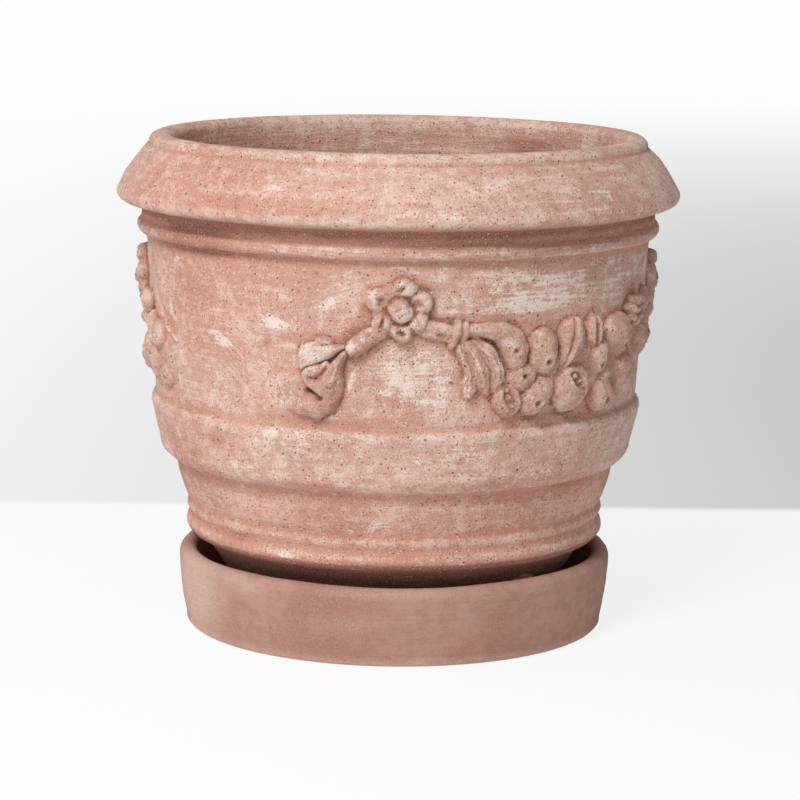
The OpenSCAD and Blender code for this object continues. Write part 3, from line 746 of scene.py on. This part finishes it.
def unrolled(turn, z, radius):
    """Places on the wall laid out flat, in metres: round to the right, then up."""
    turn = (turn + 180) % 360 - 180
    return np.stack([np.radians(turn) * radius, 0 * turn, z], -1) * MM


def outward(outline):
    """How a closed outline's surface faces at each of its points."""
    along = np.roll(outline, -1, 0) - np.roll(outline, 1, 0)
    along = along / np.linalg.norm(along, axis=1, keepdims=True)
    return np.stack([along[:, 1], -along[:, 0]], 1)


def turned_shape(outline, columns, offset):
    """A closed outline taken round the axis, moved out of its surface by the offset.

    Gives the turn, radius and height of each point, in rows round the pot, and the faces.
    """
    turn = np.arange(columns)[None, :] * 360 / columns + 0 * outline[:, :1]
    radius = outline[:, :1] + 0 * turn
    z = outline[:, 1:] + 0 * turn
    move = offset(turn, z, radius)
    out = outward(outline)
    radius = radius + out[:, :1] * move
    z = z + out[:, 1:] * move
    row, column = np.arange(len(outline))[:, None], np.arange(columns)[None, :]
    upper, right = (row + 1) % len(outline), (column + 1) % columns
    corners = [row * columns + column, row * columns + right]
    corners += [upper * columns + right, upper * columns + column]
    return turn, radius, z, np.stack(corners, -1).reshape(-1, 4)


def painted(turn, z, patches):
    """The strongest of several soft oval patches: its strength in its middle, 0 outside."""
    value = np.zeros(turn.shape)
    for middle, height, width, tall, tilt, strength in patches:
        right = ((turn - middle + 180) % 360 - 180) * MM_PER_DEGREE
        u, v = tilted(right, z - height, tilt)
        cover = 1 - smooth_step(np.hypot(2 * u / width, 2 * v / tall), 0.25, 1.25)
        value = np.maximum(value, strength * cover)
    return value


# Patches on the pot's outside: turn and height of the middle, width, tallness, tilt, strength.
# Scum is pale and dry, red is bare clay with painted shade, and the blush warms the whole wall, pale
# places too.
SCUM_PATCHES = [
    (-28.5, 207.5, 26, 12, -18, 1.0), (-43, 193, 24, 12, -18, 0.9), (-29, 160, 22, 20, 0, 0.25),
    (-26, 140, 60, 16, -2, 0.45), (-20, 146, 24, 6, -8, 0.4), (-1, 242.5, 22, 2.6, 3, 0.9),
    (10, 242, 20, 4, 5, 0.9), (-21, 240, 12, 2.6, 35, 0.9), (-17, 222, 30, 12, 18, 0.5),
    (3, 177, 56, 46, 0, 0.85), (6, 166, 46, 22, 6, 0.8), (-10.6, 175, 4.5, 30, -18, 1.0),
    (-14.8, 153.5, 10, 5, 0, 1.0), (10, 130, 70, 22, 3, 0.55), (-62, 205, 6, 34, 14, 0.8),
    (-58, 238, 14, 4, 20, 0.7), (-38, 120, 44, 16, 6, 0.6), (36, 251.7, 60, 5, 0, 0.6),
    (-4, 251.7, 60, 4, 0, 0.6), (30, 226, 120, 30, 4, 0.65), (28, 246, 80, 9, 0, 0.55),
    (58, 226, 60, 34, 4, 0.6), (-30, 64, 40, 8, 0, 0.7), (20, 62, 80, 8, 0, 0.6), (50, 66, 40, 8, 4, 0.5),
    (-10, 84, 60, 12, 0, 0.4), (-24, 288, 30, 10, 4, 0.25), (14, 290, 60, 14, 6, 0.42),
    (10, 276, 80, 8, 4, 0.4), (46, 282, 40, 14, 10, 0.5), (40, 122, 50, 18, 8, 0.4),
    (-64, 130, 40, 14, 0, 0.5), (170, 215, 60, 30, 10, 0.7), (128, 150, 50, 16, -6, 0.7),
    (-130, 225, 60, 12, -12, 0.7), (200, 285, 90, 18, 5, 0.6), (-115, 120, 50, 20, 5, 0.6),
    (100, 290, 60, 14, -5, 0.6),
]
RELIEF_SCUM = [
    (-17, 192, 40, 26, 20, 0.85), (30.6, 203.4, 13, 4, 0, 0.9), (36, 202, 12, 5, 35, 0.9),
    (50.6, 207.6, 8, 4, 30, 0.9), (58, 215, 8, 6, 0, 0.4), (-18, 174, 14, 26, 0, 0.4),
    (-10.5, 197.5, 16, 12, 0, 1.1), (-4.5, 227, 18, 14, 0, 0.9), (61, 213, 16, 14, 0, 0.5),
    (-27, 166, 22, 28, 0, 0.45), (26, 196, 16, 14, 0, 0.4), (17, 180, 12, 30, 0, 0.35),
    (33, 167, 18, 14, 0, 0.4), (41, 171, 22, 12, 0, 0.35), (1.0, 230, 20, 15, 0, 0.8),
    (0, 214, 34, 34, 0, 0.66), (23, 201, 22, 16, 0, 0.75), (-7.5, 201, 18, 12, 40, 0.6),
    (-20, 160, 24, 16, 0, 0.7), (16, 170, 14, 12, 0, 0.7), (-62, 195, 10, 26, 20, 0.7),
    (72, 209, 12, 16, 0, 0.4), (45, 190, 40, 10, 0, 0.35), (55, 168, 30, 12, 0, 0.4),
    (9, 206, 16, 8, 0, 0.5), (-13, 178, 8, 22, -15, 0.45),
]
# Many red patches are painted shade: below the garland and the bell, round the ribbons and the rosette,
# in the neck.
RED_AND_SHADE_PATCHES = [
    (-48, 172, 30, 26, 0, 0.3), (0.3, 279.6, 30, 8, 0, 0.4), (-22, 111, 60, 9, 0, 0.5),
    (-48, 69, 50, 14, 0, 0.5), (-14, 292, 60, 10, 0, 0.35), (-28, 151, 40, 5, 0, 0.8),
    (56, 158, 50, 14, 0, 0.5), (-26, 277, 150, 14, 0, 0.65), (-26, 238, 120, 22, 0, 0.4),
    (44, 150, 40, 8, 0, 0.8), (-22, 232, 70, 14, -3, 0.35), (-48, 250, 110, 26, 0, 0.75),
    (-30, 196, 16, 10, 20, 0.5), (-10, 150, 54, 5, 0, 0.8), (-4, 152, 80, 5, 4, 0.6),
    (34, 152, 90, 6, 3, 0.9), (8, 232, 24, 8, 0, 0.6), (-24, 200, 26, 8, 12, 0.7),
    (-10, 206, 26, 8, 38, 0.9), (-7.5, 215, 8, 20, 0, 0.8), (6, 232, 10, 12, 0, 0.7),
    (10, 213, 24, 6, 0, 0.6), (30, 209, 40, 6, -6, 0.5), (50, 106, 70, 8, 0, 0.5),
    (-52, 190, 50, 26, 20, 0.3), (-65, 165, 50, 30, 0, 0.3), (16, 132, 26, 8, 8, 0.35),
    (20, 112, 40, 9, 0, 0.5), (-45, 133, 40, 10, 4, 0.35), (-20, 92, 60, 12, 3, 0.3),
    (36, 84, 60, 10, 12, 0.4), (24, 298, 60, 5, 3, 0.4),
    (150, 180, 90, 30, 0, 0.35), (-150, 120, 90, 20, 0, 0.35), (-100, 280, 80, 20, 0, 0.4),
    (90, 235, 80, 12, 0, 0.45),
]
BLUSH_PATCHES = [
    (-52, 215, 150, 90, 0, 0.75), (-46, 285, 150, 50, 0, 0.8), (-56, 130, 100, 60, 0, 0.65),
    (-34, 182, 70, 70, 0, 0.5), (12, 286, 130, 44, 0, 0.3), (150, 200, 120, 90, 0, 0.5),
]
# Rings all the way round: height, tallness, strength.
BLUSH_RINGS = [(84, 54, 0.6)]
# The red rings are partly painted shade: in the neck under the rim, under the band and the bead, and on
# the foot in the saucer's gap.
RED_AND_SHADE_RINGS = [(49, 24, 2.0), (22, 44, 0.8), (58, 9, 0.7), (102, 8, 0.3), (254, 26, 0.25), (263, 8, 0.8)]
INSIDE_RED = [
    (142, 292, 70, 34, 0, 0.9), (160, 300, 60, 8, 0, 0.5), (-150, 280, 60, 20, 0, 0.3),
]
# Where the slip was wiped on in strokes, and where these rise or fall to the right.
DIAGONAL_PATCHES = [
    (-62, 178, 44, 60, 0, 1.0), (-38, 160, 60, 26, 0, 0.7), (-16, 224, 70, 34, 0, 1.0),
    (12, 290, 110, 30, 0, 0.6), (-4, 165, 26, 50, 20, 0.5), (40, 80, 60, 24, 0, 0.7),
    (160, 200, 120, 60, 0, 0.8), (-140, 120, 100, 50, 0, 0.6),
]
FALLING_PATCHES = [
    (-37, 186, 52, 46, 0, 1.0), (60, 280, 70, 26, 0, 0.5), (110, 120, 70, 30, 0, 0.8),
]
STROKE_PATCHES = [
    (-38, 188, 76, 60, 0, 1.0), (-60, 168, 50, 60, 0, 0.9), (-14, 228, 60, 30, 14, 0.5),
    (34, 228, 130, 40, 4, 1.0), (34, 286, 110, 34, 4, 0.8), (0, 252, 500, 16, 0, 1.0),
    (-16, 226, 50, 26, 14, 0.8), (8, 172, 60, 40, 0, 0.4), (-28, 186, 40, 40, 0, 0.5),
    (40, 82, 60, 24, 0, 0.6), (-165, 225, 120, 40, 0, 0.9),
]
# The mask that each list paints on the pot.
WALL_PATCHES = {
    "red_and_shade": RED_AND_SHADE_PATCHES, "scum": SCUM_PATCHES, "blush": BLUSH_PATCHES,
    "strokes": STROKE_PATCHES, "diagonal": DIAGONAL_PATCHES, "falling": FALLING_PATCHES,
}


def rings(z, rows):
    """The sum of soft rings round the pot."""
    return sum(strength * np.exp(-(((z - middle) / (tall / 2)) ** 4)) for middle, tall, strength in rows)


def outline_bend(outline, softness):
    """Where a closed outline is hollow, above 0, and where it stands out, below 0."""
    steps = np.linalg.norm(np.roll(outline, -1, 0) - outline, axis=1)
    reach = max(1, round(softness / np.median(steps)))
    mean = sum(np.roll(outline, o, 0) for o in range(-reach, reach + 1)) / (2 * reach + 1)
    return ((mean - outline) * outward(outline)).sum(1)


POT_COLUMNS = 490


def make_pot(panel, finish):
    outer = resampled(outer_outline(), 2.15, 0.5)
    inner = resampled(inner_outline(), 9.0, 1.0)
    under = resampled(under_outline(), 10.0, 0.2)
    outline = np.concatenate([outer, inner[1:], under[1:-1]])
    floor_rows = len(outline) - len(under) - 2

    def offset(turn, z, radius):
        # The clay wavers where it is free to: not at the drain hole, the foot or the underside.
        free = smooth_step(radius, 20, 60) * smooth_step(z, FOOT_Z + 1, FOOT_Z + 12)
        free[floor_rows:] = 0
        rim = 1 - 0.7 * smooth_step(z, TOP_Z - 1.5, TOP_Z)
        skirt = np.where(radius > PANEL_FOOT_R - 3, panel.at(panel.skirt, turn, z), 0)
        return free * rim * unevenness(turn, z, radius) - WALL_INSET * free + skirt

    turn, radius, z, faces = turned_shape(outline, POT_COLUMNS, offset)
    bend = outline_bend(outline, 5)[:, None] + 0 * turn
    outside = np.arange(len(outline))[:, None] < len(outer) + 0 * turn
    masks = {name: painted(turn, z, patches) for name, patches in WALL_PATCHES.items()}
    masks["blush"] += rings(z, BLUSH_RINGS)
    # Hollows of the outline, the red rings and the relief's corners: red clay with painted shade.
    masks["red_and_shade"] += rings(z, RED_AND_SHADE_RINGS) + np.clip(bend / 1.4, 0, 1.1)
    masks["red_and_shade"] += panel.at(panel.red_and_shade + panel.halo, turn, z)
    masks["crest"] = np.clip(-bend / 1.6, 0, 1)
    inside = {"red_and_shade": 0.15 + painted(turn, z, INSIDE_RED), "scum": 0.2, "strokes": 0.5}
    masks = {name: np.where(outside, mask, inside.get(name, 0)) for name, mask in masks.items()}
    masks["unrolled"] = unrolled(turn, z, radius)
    make_piece("pot", placed(turn, radius, z), faces, masks, finish, "pot", "pot_body")


SAUCER_COLUMNS = 360
SAUCER_RIM_T = 12.5
SAUCER_WALL_T = 10.5
SAUCER_FLOOR_T = 12
# Pale bloom on the saucer, in patches like those on the pot; the broad one on its left side is painted
# sheen.
SAUCER_DUST_AND_SHEEN = [
    (-68, 28, 110, 70, 0, 1.3), (-44, 42, 60, 14, -6, 0.5), (0, 46, 120, 10, 0, 0.4),
    (-12, 26, 60, 14, 6, 0.3), (150, 30, 90, 20, 5, 0.4),
]


def saucer_outline():
    """The saucer's closed outline, from the middle of its underside out, up and back in."""
    outer_r, rim_r = saucer_high.x, SAUCER_RIM_T / 2
    foot_r = outer_r - 8
    floor_r = foot_r + 3 - SAUCER_WALL_T - 8
    rim_z = saucer_high.z - rim_r
    return (
        [(2, 0)]
        + arc((foot_r, 3), 3, -90, 0, 4)
        + bow((foot_r + 3, 4), (outer_r, rim_z - 1), 0.9, 6)
        + arc((outer_r - rim_r, rim_z), rim_r, 0, 180, 16)
        + arc((floor_r, SAUCER_FLOOR_T + 8), 8, -10, -90, 6)
        + [(2, SAUCER_FLOOR_T)]
    )


def make_saucer(finish):
    outline = resampled(saucer_outline(), 2.2, 0.6)

    def offset(turn, z, radius):
        # The saucer is true where it stands and where the pot stands in it.
        free = smooth_step(z, 1, 6) * smooth_step(radius, 108, 124)
        return free * (lumps((*around(turn, radius), z), SAUCER_LUMPS) - SAUCER_INSET)

    turn, radius, z, faces = turned_shape(outline, SAUCER_COLUMNS, offset)
    # Paler at the foot, and in the patches, partly painted sheen.
    masks = {"dust_and_sheen": smooth_step(z, 6, 0) + painted(turn, z, SAUCER_DUST_AND_SHEEN)}
    make_piece("dish", placed(turn, radius, z), faces, masks, finish, "saucer", "saucer")


def side_faces(faces, step):
    """Faces from the open edges of a front to the same edges of its back."""
    edges = np.concatenate([faces[:, [k, (k + 1) % 4]] for k in range(4)])
    key = np.sort(edges, 1)
    key = key[:, 0] * (2 * step) + key[:, 1]
    _, first, count = np.unique(key, return_index=True, return_counts=True)
    open_edges = edges[first[count == 1]]
    a, b = open_edges[:, 0], open_edges[:, 1]
    return np.stack([b, a, a + step, b + step], 1)


# How far off the wall a shell's front ends, where it is still shown, and where its back lies.
RELIEF_LEVELS = -0.9, -0.3, -2.2
PAD_LEVELS = -0.8, -0.6, -2.5


def make_shell(name, turn, z, base, front, back, shown, masks, finish, node):
    """A closed piece of the pot: a front over the shown cells of a grid, and a back under them.

    Front and back are given in millimetres off the base.
    """
    rows, columns = z.shape
    index = np.arange(z.size).reshape(rows, columns)
    cells = np.stack([index[:-1, :-1], index[:-1, 1:], index[1:, 1:], index[1:, :-1]], -1)
    faces = cells[shown]
    faces = np.concatenate([faces, faces[:, ::-1] + z.size, side_faces(faces, z.size)])
    points = np.concatenate([placed(turn, base + front, z), placed(turn, base + back, z)])
    used, faces = np.unique(faces, return_inverse=True)
    masks = {mask: np.tile(values.ravel(), 2)[used] for mask, values in masks.items()}
    make_piece(name, points[used], faces.reshape(-1, 4), masks, finish, "pot", node)


def make_relief(node, sheet, panel, finish):
    """A piece of relief, its back just inside the wall."""
    turn = sheet.turn[None, :] + 0 * sheet.z[:, None]
    z = sheet.z[:, None] + 0 * turn
    base = wall_r(z) + unevenness(turn, z, wall_r(z)) - WALL_INSET
    height = sheet.height
    corners = [height[:-1, :-1], height[1:, :-1], height[:-1, 1:], height[1:, 1:]]
    # The relief's corners take red with painted shade, as on the wall.
    masks = {
        "red_and_shade": 0.15 + 1.2 * panel.at(panel.red_and_shade, turn, z),
        "crest": panel.at(panel.crest, turn, z),
        "scum": painted(turn, z, RELIEF_SCUM),
    }
    lowest, shown, back = RELIEF_LEVELS
    make_shell(node.replace("_", "-"), turn, z, base, np.clip(height, lowest, None), back,
               np.maximum.reduce(corners) > shown, masks, finish, node)


PAD_TURN = 44
PAD_W = 22
PAD_H = 16
PAD_T = 4.5
PAD_SUNK = 1.0
PAD_WALL_R = FOOT_R + 15
PAD_STEP = 0.4


def make_pad(finish):
    """The small rough pad of clay pressed on the tapering foot."""
    low, high = (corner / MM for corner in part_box("clay_pad"))
    slope = (UNDER_BEAD_R - FOOT_R) / (UNDER_BEAD_Z - FOOT_Z)
    u = np.arange(-PAD_W / 2 - 1, PAD_W / 2 + 1, PAD_STEP)[None, :]
    v = np.arange(-PAD_H / 2 - 1, PAD_H / 2 + 1, PAD_STEP)[:, None]
    u, v = u + 0 * v, v + 0 * u
    height = dome(u, v, PAD_W, PAD_H, PAD_T, 2.2, 0.6) + lumps((u, v, 0 * u), PAD_LUMPS)
    z = (low.z + high.z) / 2 + v
    turn = PAD_TURN + np.degrees(u / PAD_WALL_R)
    base = FOOT_R + slope * (z - FOOT_Z) - PAD_SUNK
    # The pad is darkened with painted shade, as it sits low in the gap inside the saucer.
    masks = {"red_and_shade": 0.9 + 0 * z, "scum": 0.1 + 0 * z}
    lowest, shown, back = PAD_LEVELS
    make_shell("clay-pad", turn, z, base, np.clip(height, lowest, None), back,
               height[:-1, :-1] > shown, masks, finish, "clay_pad")


# Materials

class Finish:
    """A material's nodes, made one at a time."""

    def __init__(self, name):
        self.material = bpy.data.materials.new(name)
        self.material.use_nodes = True
        self.tree = self.material.node_tree
        self.shader = self.tree.nodes["Principled BSDF"]
        self.place = self.add("ShaderNodeTexCoord").outputs["Object"]

    def fill(self, node, inputs):
        """Sets a node's inputs to values, or links them to what other nodes give."""
        for slot, value in inputs.items():
            if isinstance(value, bpy.types.NodeSocket):
                self.tree.links.new(value, node.inputs[slot])
            else:
                node.inputs[slot].default_value = value
        return node

    def add(self, kind, inputs=None, **settings):
        node = self.tree.nodes.new(kind)
        for setting, value in settings.items():
            setattr(node, setting, value)
        return self.fill(node, inputs or {})

    def math(self, operation, a, b, clamp=False):
        node = self.add("ShaderNodeMath", {0: a, 1: b}, operation=operation, use_clamp=clamp)
        return node.outputs[0]

    def plus(self, a, b, clamp=False):
        return self.math("ADD", a, b, clamp)

    def minus(self, a, b):
        return self.math("SUBTRACT", a, b)

    def times(self, a, b):
        return self.math("MULTIPLY", a, b)

    def weighted(self, *parts):
        """A sum of values from 0 to 1, each counted from its middle with its own weight."""
        total = 0.0
        for value, weight in parts:
            total = self.plus(self.times(self.minus(value, 0.5), weight), total)
        return total

    def noise(self, scale, detail=3.0, roughness=0.55, vector=None):
        inputs = {"Vector": vector or self.place, "Scale": scale, "Detail": detail,
                  "Roughness": roughness}
        return self.add("ShaderNodeTexNoise", inputs).outputs[0]

    def stretched(self, scale, vector=None):
        """Noise with its own scale for each axis, in features per metre."""
        inputs = {"Vector": vector or self.place, "Scale": scale}
        return self.noise(1.0, 4.0, 0.6, self.add("ShaderNodeMapping", inputs).outputs[0])

    def strokes(self, rise):
        """Noise drawn out into strokes on the wall, which rise to the right by this many degrees."""
        flat = self.add("ShaderNodeAttribute", attribute_name="unrolled").outputs["Vector"]
        inputs = {"Vector": flat, "Rotation": (0, math.radians(rise), 0)}
        return self.stretched((26, 1, 420), self.add("ShaderNodeMapping", inputs).outputs[0])

    def step(self, value, low, high, out_low=0.0, out_high=1.0):
        inputs = {"Value": value, "From Min": low, "From Max": high,
                  "To Min": out_low, "To Max": out_high}
        node = self.add("ShaderNodeMapRange", inputs, interpolation_type="SMOOTHSTEP")
        return node.outputs[0]

    def mask(self, name):
        return self.add("ShaderNodeAttribute", attribute_name=name).outputs["Fac"]

    def mix(self, share, a, b, blend="MIX"):
        inputs = {0: share, 6: a, 7: b}
        return self.add("ShaderNodeMix", inputs, data_type="RGBA", blend_type=blend).outputs[2]

    def specks(self, scale, share, size):
        """Scattered round specks: 1 inside a speck, from cells of 1 / scale metres."""
        cells = self.add("ShaderNodeTexVoronoi", {"Vector": self.place, "Scale": scale})
        colour = self.add("ShaderNodeSeparateColor", {0: cells.outputs["Color"]})
        chosen = self.math("LESS_THAN", colour.outputs[0], share)
        edge = self.minus(self.times(colour.outputs[1], size), cells.outputs["Distance"])
        return self.times(self.step(edge, -0.02, 0.03), chosen)

    def surface(self, colour, roughness, heights):
        """Sets the colour and roughness, and bumps from pairs of a height and its size."""
        inputs = {"Base Color": colour, "Roughness": roughness, "Specular IOR Level": 0.25}
        for height, distance in heights:
            bump = {"Height": height, "Distance": distance, "Strength": 1.0}
            if "Normal" in inputs:
                bump["Normal"] = inputs["Normal"]
            inputs["Normal"] = self.add("ShaderNodeBump", bump).outputs[0]
        self.fill(self.shader, inputs)
        return self.material


CLAY = srgb(209, 163, 146)
CLAY_DEEP = srgb(198, 149, 131)
CLAY_RED = srgb(188, 126, 103)
# The dark of painted shade, in the deepest corners and on the foot.
CLAY_DARK = srgb(136, 82, 64)
SLIP = srgb(230, 202, 188)
SCUM = srgb(240, 222, 211)
BLUSH = srgb(244, 217, 209)
GROG = srgb(108, 64, 50)
RED_GROG = srgb(160, 90, 68)
PIT = srgb(150, 103, 86)
# Specks in the pot's clay: cells in a metre, share of them, size in cells, strength and colour.
SPECKS = {
    "flecks": (420, 1.0, 0.24, 0.6, SCUM), "pits": (480, 1.0, 0.27, 0.75, PIT),
    "grog": (290, 0.8, 0.19, 0.85, GROG), "red_grog": (110, 0.7, 0.11, 0.7, RED_GROG),
}
SLIP_COVER = 0.24


def raw_clay(name, pale, lined, rough):
    """Unglazed clay wiped over with thin pale slip: sandy, mottled, with pits, grog and strokes.

    Pale is how much more slip there is than on the wall, lined how strong the strokes are, and
    rough how deep the grain is.
    """
    f = Finish(name)
    broad = f.noise(14)
    blotch = f.noise(48, 4, 0.6)
    mottle = f.noise(170, 3, 0.62)
    grit = f.noise(950, 2, 0.65)
    fine = f.noise(2000, 1, 0.5)
    wiped = f.stretched((26, 26, 400))
    for mask, rise in (("diagonal", 17), ("falling", -38)):
        wiped = f.plus(wiped, f.times(f.minus(f.strokes(rise), wiped), f.mask(mask)))
    strength = f.plus(f.times(f.mask("strokes"), 2.4), 1.0)
    wiped = f.plus(f.times(f.times(f.minus(wiped, 0.5), strength), lined), 0.5)
    # Red clay and painted shade, from the pot's mask.
    red_and_shade = f.times(f.mask("red_and_shade"), f.step(blotch, 0.25, 0.6, 0.75, 1.1))
    slip = f.weighted((wiped, 1.7), (broad, 1.4), (blotch, 2.3), (mottle, 2.9), (grit, 3.9))
    slip = f.plus(slip, f.times(f.mask("crest"), 0.5))
    slip = f.minus(slip, f.times(red_and_shade, 0.8))
    slip = f.plus(slip, SLIP_COVER + pale, clamp=True)
    colour = f.mix(f.step(broad, 0.35, 0.65), CLAY_DEEP, CLAY)
    colour = f.mix(slip, colour, SLIP)
    red = f.weighted((mottle, -0.8), (blotch, -0.7))
    red = f.plus(f.times(red_and_shade, 0.8), red, clamp=True)
    colour = f.mix(red, colour, CLAY_RED)
    # Painted shade: the deepest of the mask goes dark.
    colour = f.mix(f.step(red_and_shade, 0.75, 1.5, 0.0, 0.78), colour, CLAY_DARK)
    colour = f.mix(f.mask("blush"), colour, BLUSH, "MULTIPLY")
    scum = f.minus(f.mask("scum"), f.times(red_and_shade, 0.35))
    scum = f.plus(scum, f.weighted((wiped, 0.8), (blotch, 1.3), (grit, 1.4), (mottle, 1.4)))
    colour = f.mix(f.step(scum, 0.4, 0.9, 0.0, 0.8), colour, SCUM)
    colour = f.mix(f.step(fine, 0.4, 0.8, 0.0, 0.45), colour, SCUM)
    specks = {}
    for kind, (cells, share, size, cover, tint) in SPECKS.items():
        specks[kind] = f.specks(cells, share, size)
        colour = f.mix(f.times(specks[kind], cover), colour, tint)
    relief = f.weighted((wiped, 0.6), (mottle, 0.9), (grit, 1.1), (specks["pits"], -0.5),
                        (specks["grog"], -0.5))
    roughness = f.step(grit, 0.3, 0.7, 0.82, 0.96)
    return f.surface(colour, roughness, [(relief, 0.0008 * rough), (fine, 0.00025 * rough)])


SAUCER_CLAY = srgb(186, 145, 131)
SAUCER_DEEP = srgb(166, 117, 101)
SAUCER_ROSE = srgb(196, 147, 136)
SAUCER_GREY = srgb(176, 150, 136)
SMUDGE = srgb(92, 66, 58)


def smooth_clay(name):
    """The saucer's finer clay: even, with faint turning lines, grey bloom and a few smudges."""
    f = Finish(name)
    lines = f.stretched((9, 9, 420))
    grit = f.noise(900, 3, 0.65)
    colour = f.mix(f.step(f.noise(14), 0.32, 0.66), SAUCER_DEEP, SAUCER_CLAY)
    for value, low, high, cover, tint in (
        (f.noise(150, 3, 0.6), 0.38, 0.66, 0.7, SAUCER_DEEP),
        (f.noise(45, 4, 0.6), 0.5, 0.75, 0.5, SAUCER_ROSE),
        (f.noise(30, 5, 0.65), 0.52, 0.75, 0.5, SAUCER_GREY),
        (lines, 0.35, 0.7, 0.3, SAUCER_DEEP),
        (grit, 0.4, 0.65, 0.6, SAUCER_GREY),
    ):
        colour = f.mix(f.step(value, low, high, 0.0, cover), colour, tint)
    # Pale dust, and painted sheen on the saucer's left side.
    dust_and_sheen = f.times(f.mask("dust_and_sheen"), f.step(grit, 0.3, 0.7, 0.28, 0.5))
    colour = f.mix(dust_and_sheen, colour, SLIP)
    smudge = f.times(f.specks(38, 0.16, 0.09), f.step(f.noise(400, 2), 0.35, 0.6))
    colour = f.mix(f.times(smudge, 0.6), colour, SMUDGE)
    colour = f.mix(f.times(f.specks(160, 0.14, 0.09), 0.6), colour, GROG)
    roughness = f.step(grit, 0.3, 0.7, 0.74, 0.88)
    relief = f.plus(f.times(lines, 0.8), f.times(grit, 0.7))
    return f.surface(colour, roughness, [(relief, 0.0005)])


# Stage, light and camera

FLOOR_REACH = 16.0
TABLE_EDGE = 0.34
TABLE_EDGE_BLUR = 0.01
SHADE_REACH = 0.7
FAR_REACH = 0.5, 5.0
FLOOR_GLOW = 0.85
BACKDROP_GLOW = 0.97
# The floor's colours from left to right, on the table and behind it, and far back. The grey towards the
# right is painted shade.
TABLE_SHADES = srgb(254, 254, 254), srgb(251, 251, 251)
BEHIND_SHADES = srgb(250, 250, 250), srgb(193, 193, 194)
FAR_SHADE = srgb(255, 255, 255)


def make_stage():
    """A plain pale floor, a little greyer beyond the line where the photograph's table ends."""
    mesh = bpy.data.meshes.new("floor")
    near, far = -FLOOR_REACH, FLOOR_REACH
    corners = [(near, near, 0), (far, near, 0), (far, far, 0), (near, far, 0)]
    mesh.from_pydata(corners, [], [(0, 1, 2, 3)])
    f = Finish("floor_paint")
    parts = f.add("ShaderNodeSeparateXYZ", {0: f.place})
    right, back = parts.outputs[0], parts.outputs[1]
    beyond = f.step(back, TABLE_EDGE - TABLE_EDGE_BLUR, TABLE_EDGE + TABLE_EDGE_BLUR)
    side = f.step(right, -SHADE_REACH, SHADE_REACH)
    behind = f.mix(f.step(back, *FAR_REACH), f.mix(side, *BEHIND_SHADES), FAR_SHADE)
    colour = f.mix(beyond, f.mix(side, *TABLE_SHADES), behind)
    f.fill(f.shader, {"Base Color": colour, "Roughness": 0.9, "Specular IOR Level": 0.1})
    seen = f.add("ShaderNodeLightPath").outputs["Is Camera Ray"]
    glow = f.add("ShaderNodeEmission", {"Color": colour, "Strength": 1.0}).outputs[0]
    share = f.times(seen, f.step(beyond, 0, 1, FLOOR_GLOW, BACKDROP_GLOW))
    out = f.add("ShaderNodeMixShader", {0: share, 1: f.shader.outputs[0], 2: glow}).outputs[0]
    f.fill(f.tree.nodes["Material Output"], {"Surface": out})
    mesh.materials.append(f.material)
    floor = add_object("floor", mesh)


# Soft square lamps: place, size and power.
LAMPS = {"key": ((-0.65, -1.65, 1.85), 0.65, 41.5), "side": ((-2.0, -0.15, 0.8), 1.6, 7)}
LAMP_TARGET = (0, 0, 0.17)
WORLD_LIGHT = 0.36


def make_light():
    world = bpy.data.worlds.new("studio")
    world.use_nodes = True
    background = world.node_tree.nodes["Background"]
    background.inputs["Color"].default_value = (1, 1, 1, 1)
    background.inputs["Strength"].default_value = WORLD_LIGHT
    bpy.context.scene.world = world
    for name, (place, size, power) in LAMPS.items():
        light = bpy.data.lights.new(name, "AREA")
        light.size = size
        light.energy = power
        lamp = add_object(name, light)
        lamp.location = place
        toward = Vector(LAMP_TARGET) - Vector(place)
        lamp.rotation_euler = toward.to_track_quat("-Z", "Y").to_euler()
    bpy.context.scene.view_settings.view_transform = "Standard"


# The photograph's camera: how long its lens is for an 800 pixel picture, and where it stands.
FOCAL_PIXELS = 2993
PICTURE_PIXELS = 800
CAMERA_PLACE = (0.0027, -1.860, 0.4605)
CAMERA_TURN = -0.6
CAMERA_DOWN = 9.80
CAMERA_ROLL = 0.72


def make_camera():
    lens = bpy.data.cameras.new("camera")
    lens.sensor_width = 36
    lens.lens = FOCAL_PIXELS / PICTURE_PIXELS * lens.sensor_width
    camera = add_object("camera", lens)
    round_pot = Matrix.Rotation(math.radians(CAMERA_TURN), 3, "Z")
    camera.location = round_pot @ Vector(CAMERA_PLACE)
    turn = round_pot @ Matrix.Rotation(math.radians(90 - CAMERA_DOWN), 3, "X")
    turn = turn @ Matrix.Rotation(math.radians(CAMERA_ROLL), 3, "Z")
    camera.rotation_euler = turn.to_euler()
    bpy.context.scene.camera = camera


def make_object():
    sheets = relief_sheets()
    panel = Panel(sheets)
    pot_clay = raw_clay("pot_clay_finish", pale=0.0, lined=1.0, rough=1.0)
    relief_clay = raw_clay("relief_clay_finish", pale=-0.24, lined=0.5, rough=1.5)
    make_pot(panel, pot_clay)
    for name, sheet in sheets.items():
        make_relief(name, sheet, panel, relief_clay)
    make_pad(pot_clay)
    make_saucer(smooth_clay("saucer_clay_finish"))


make_camera()
make_stage()
make_light()
make_object()
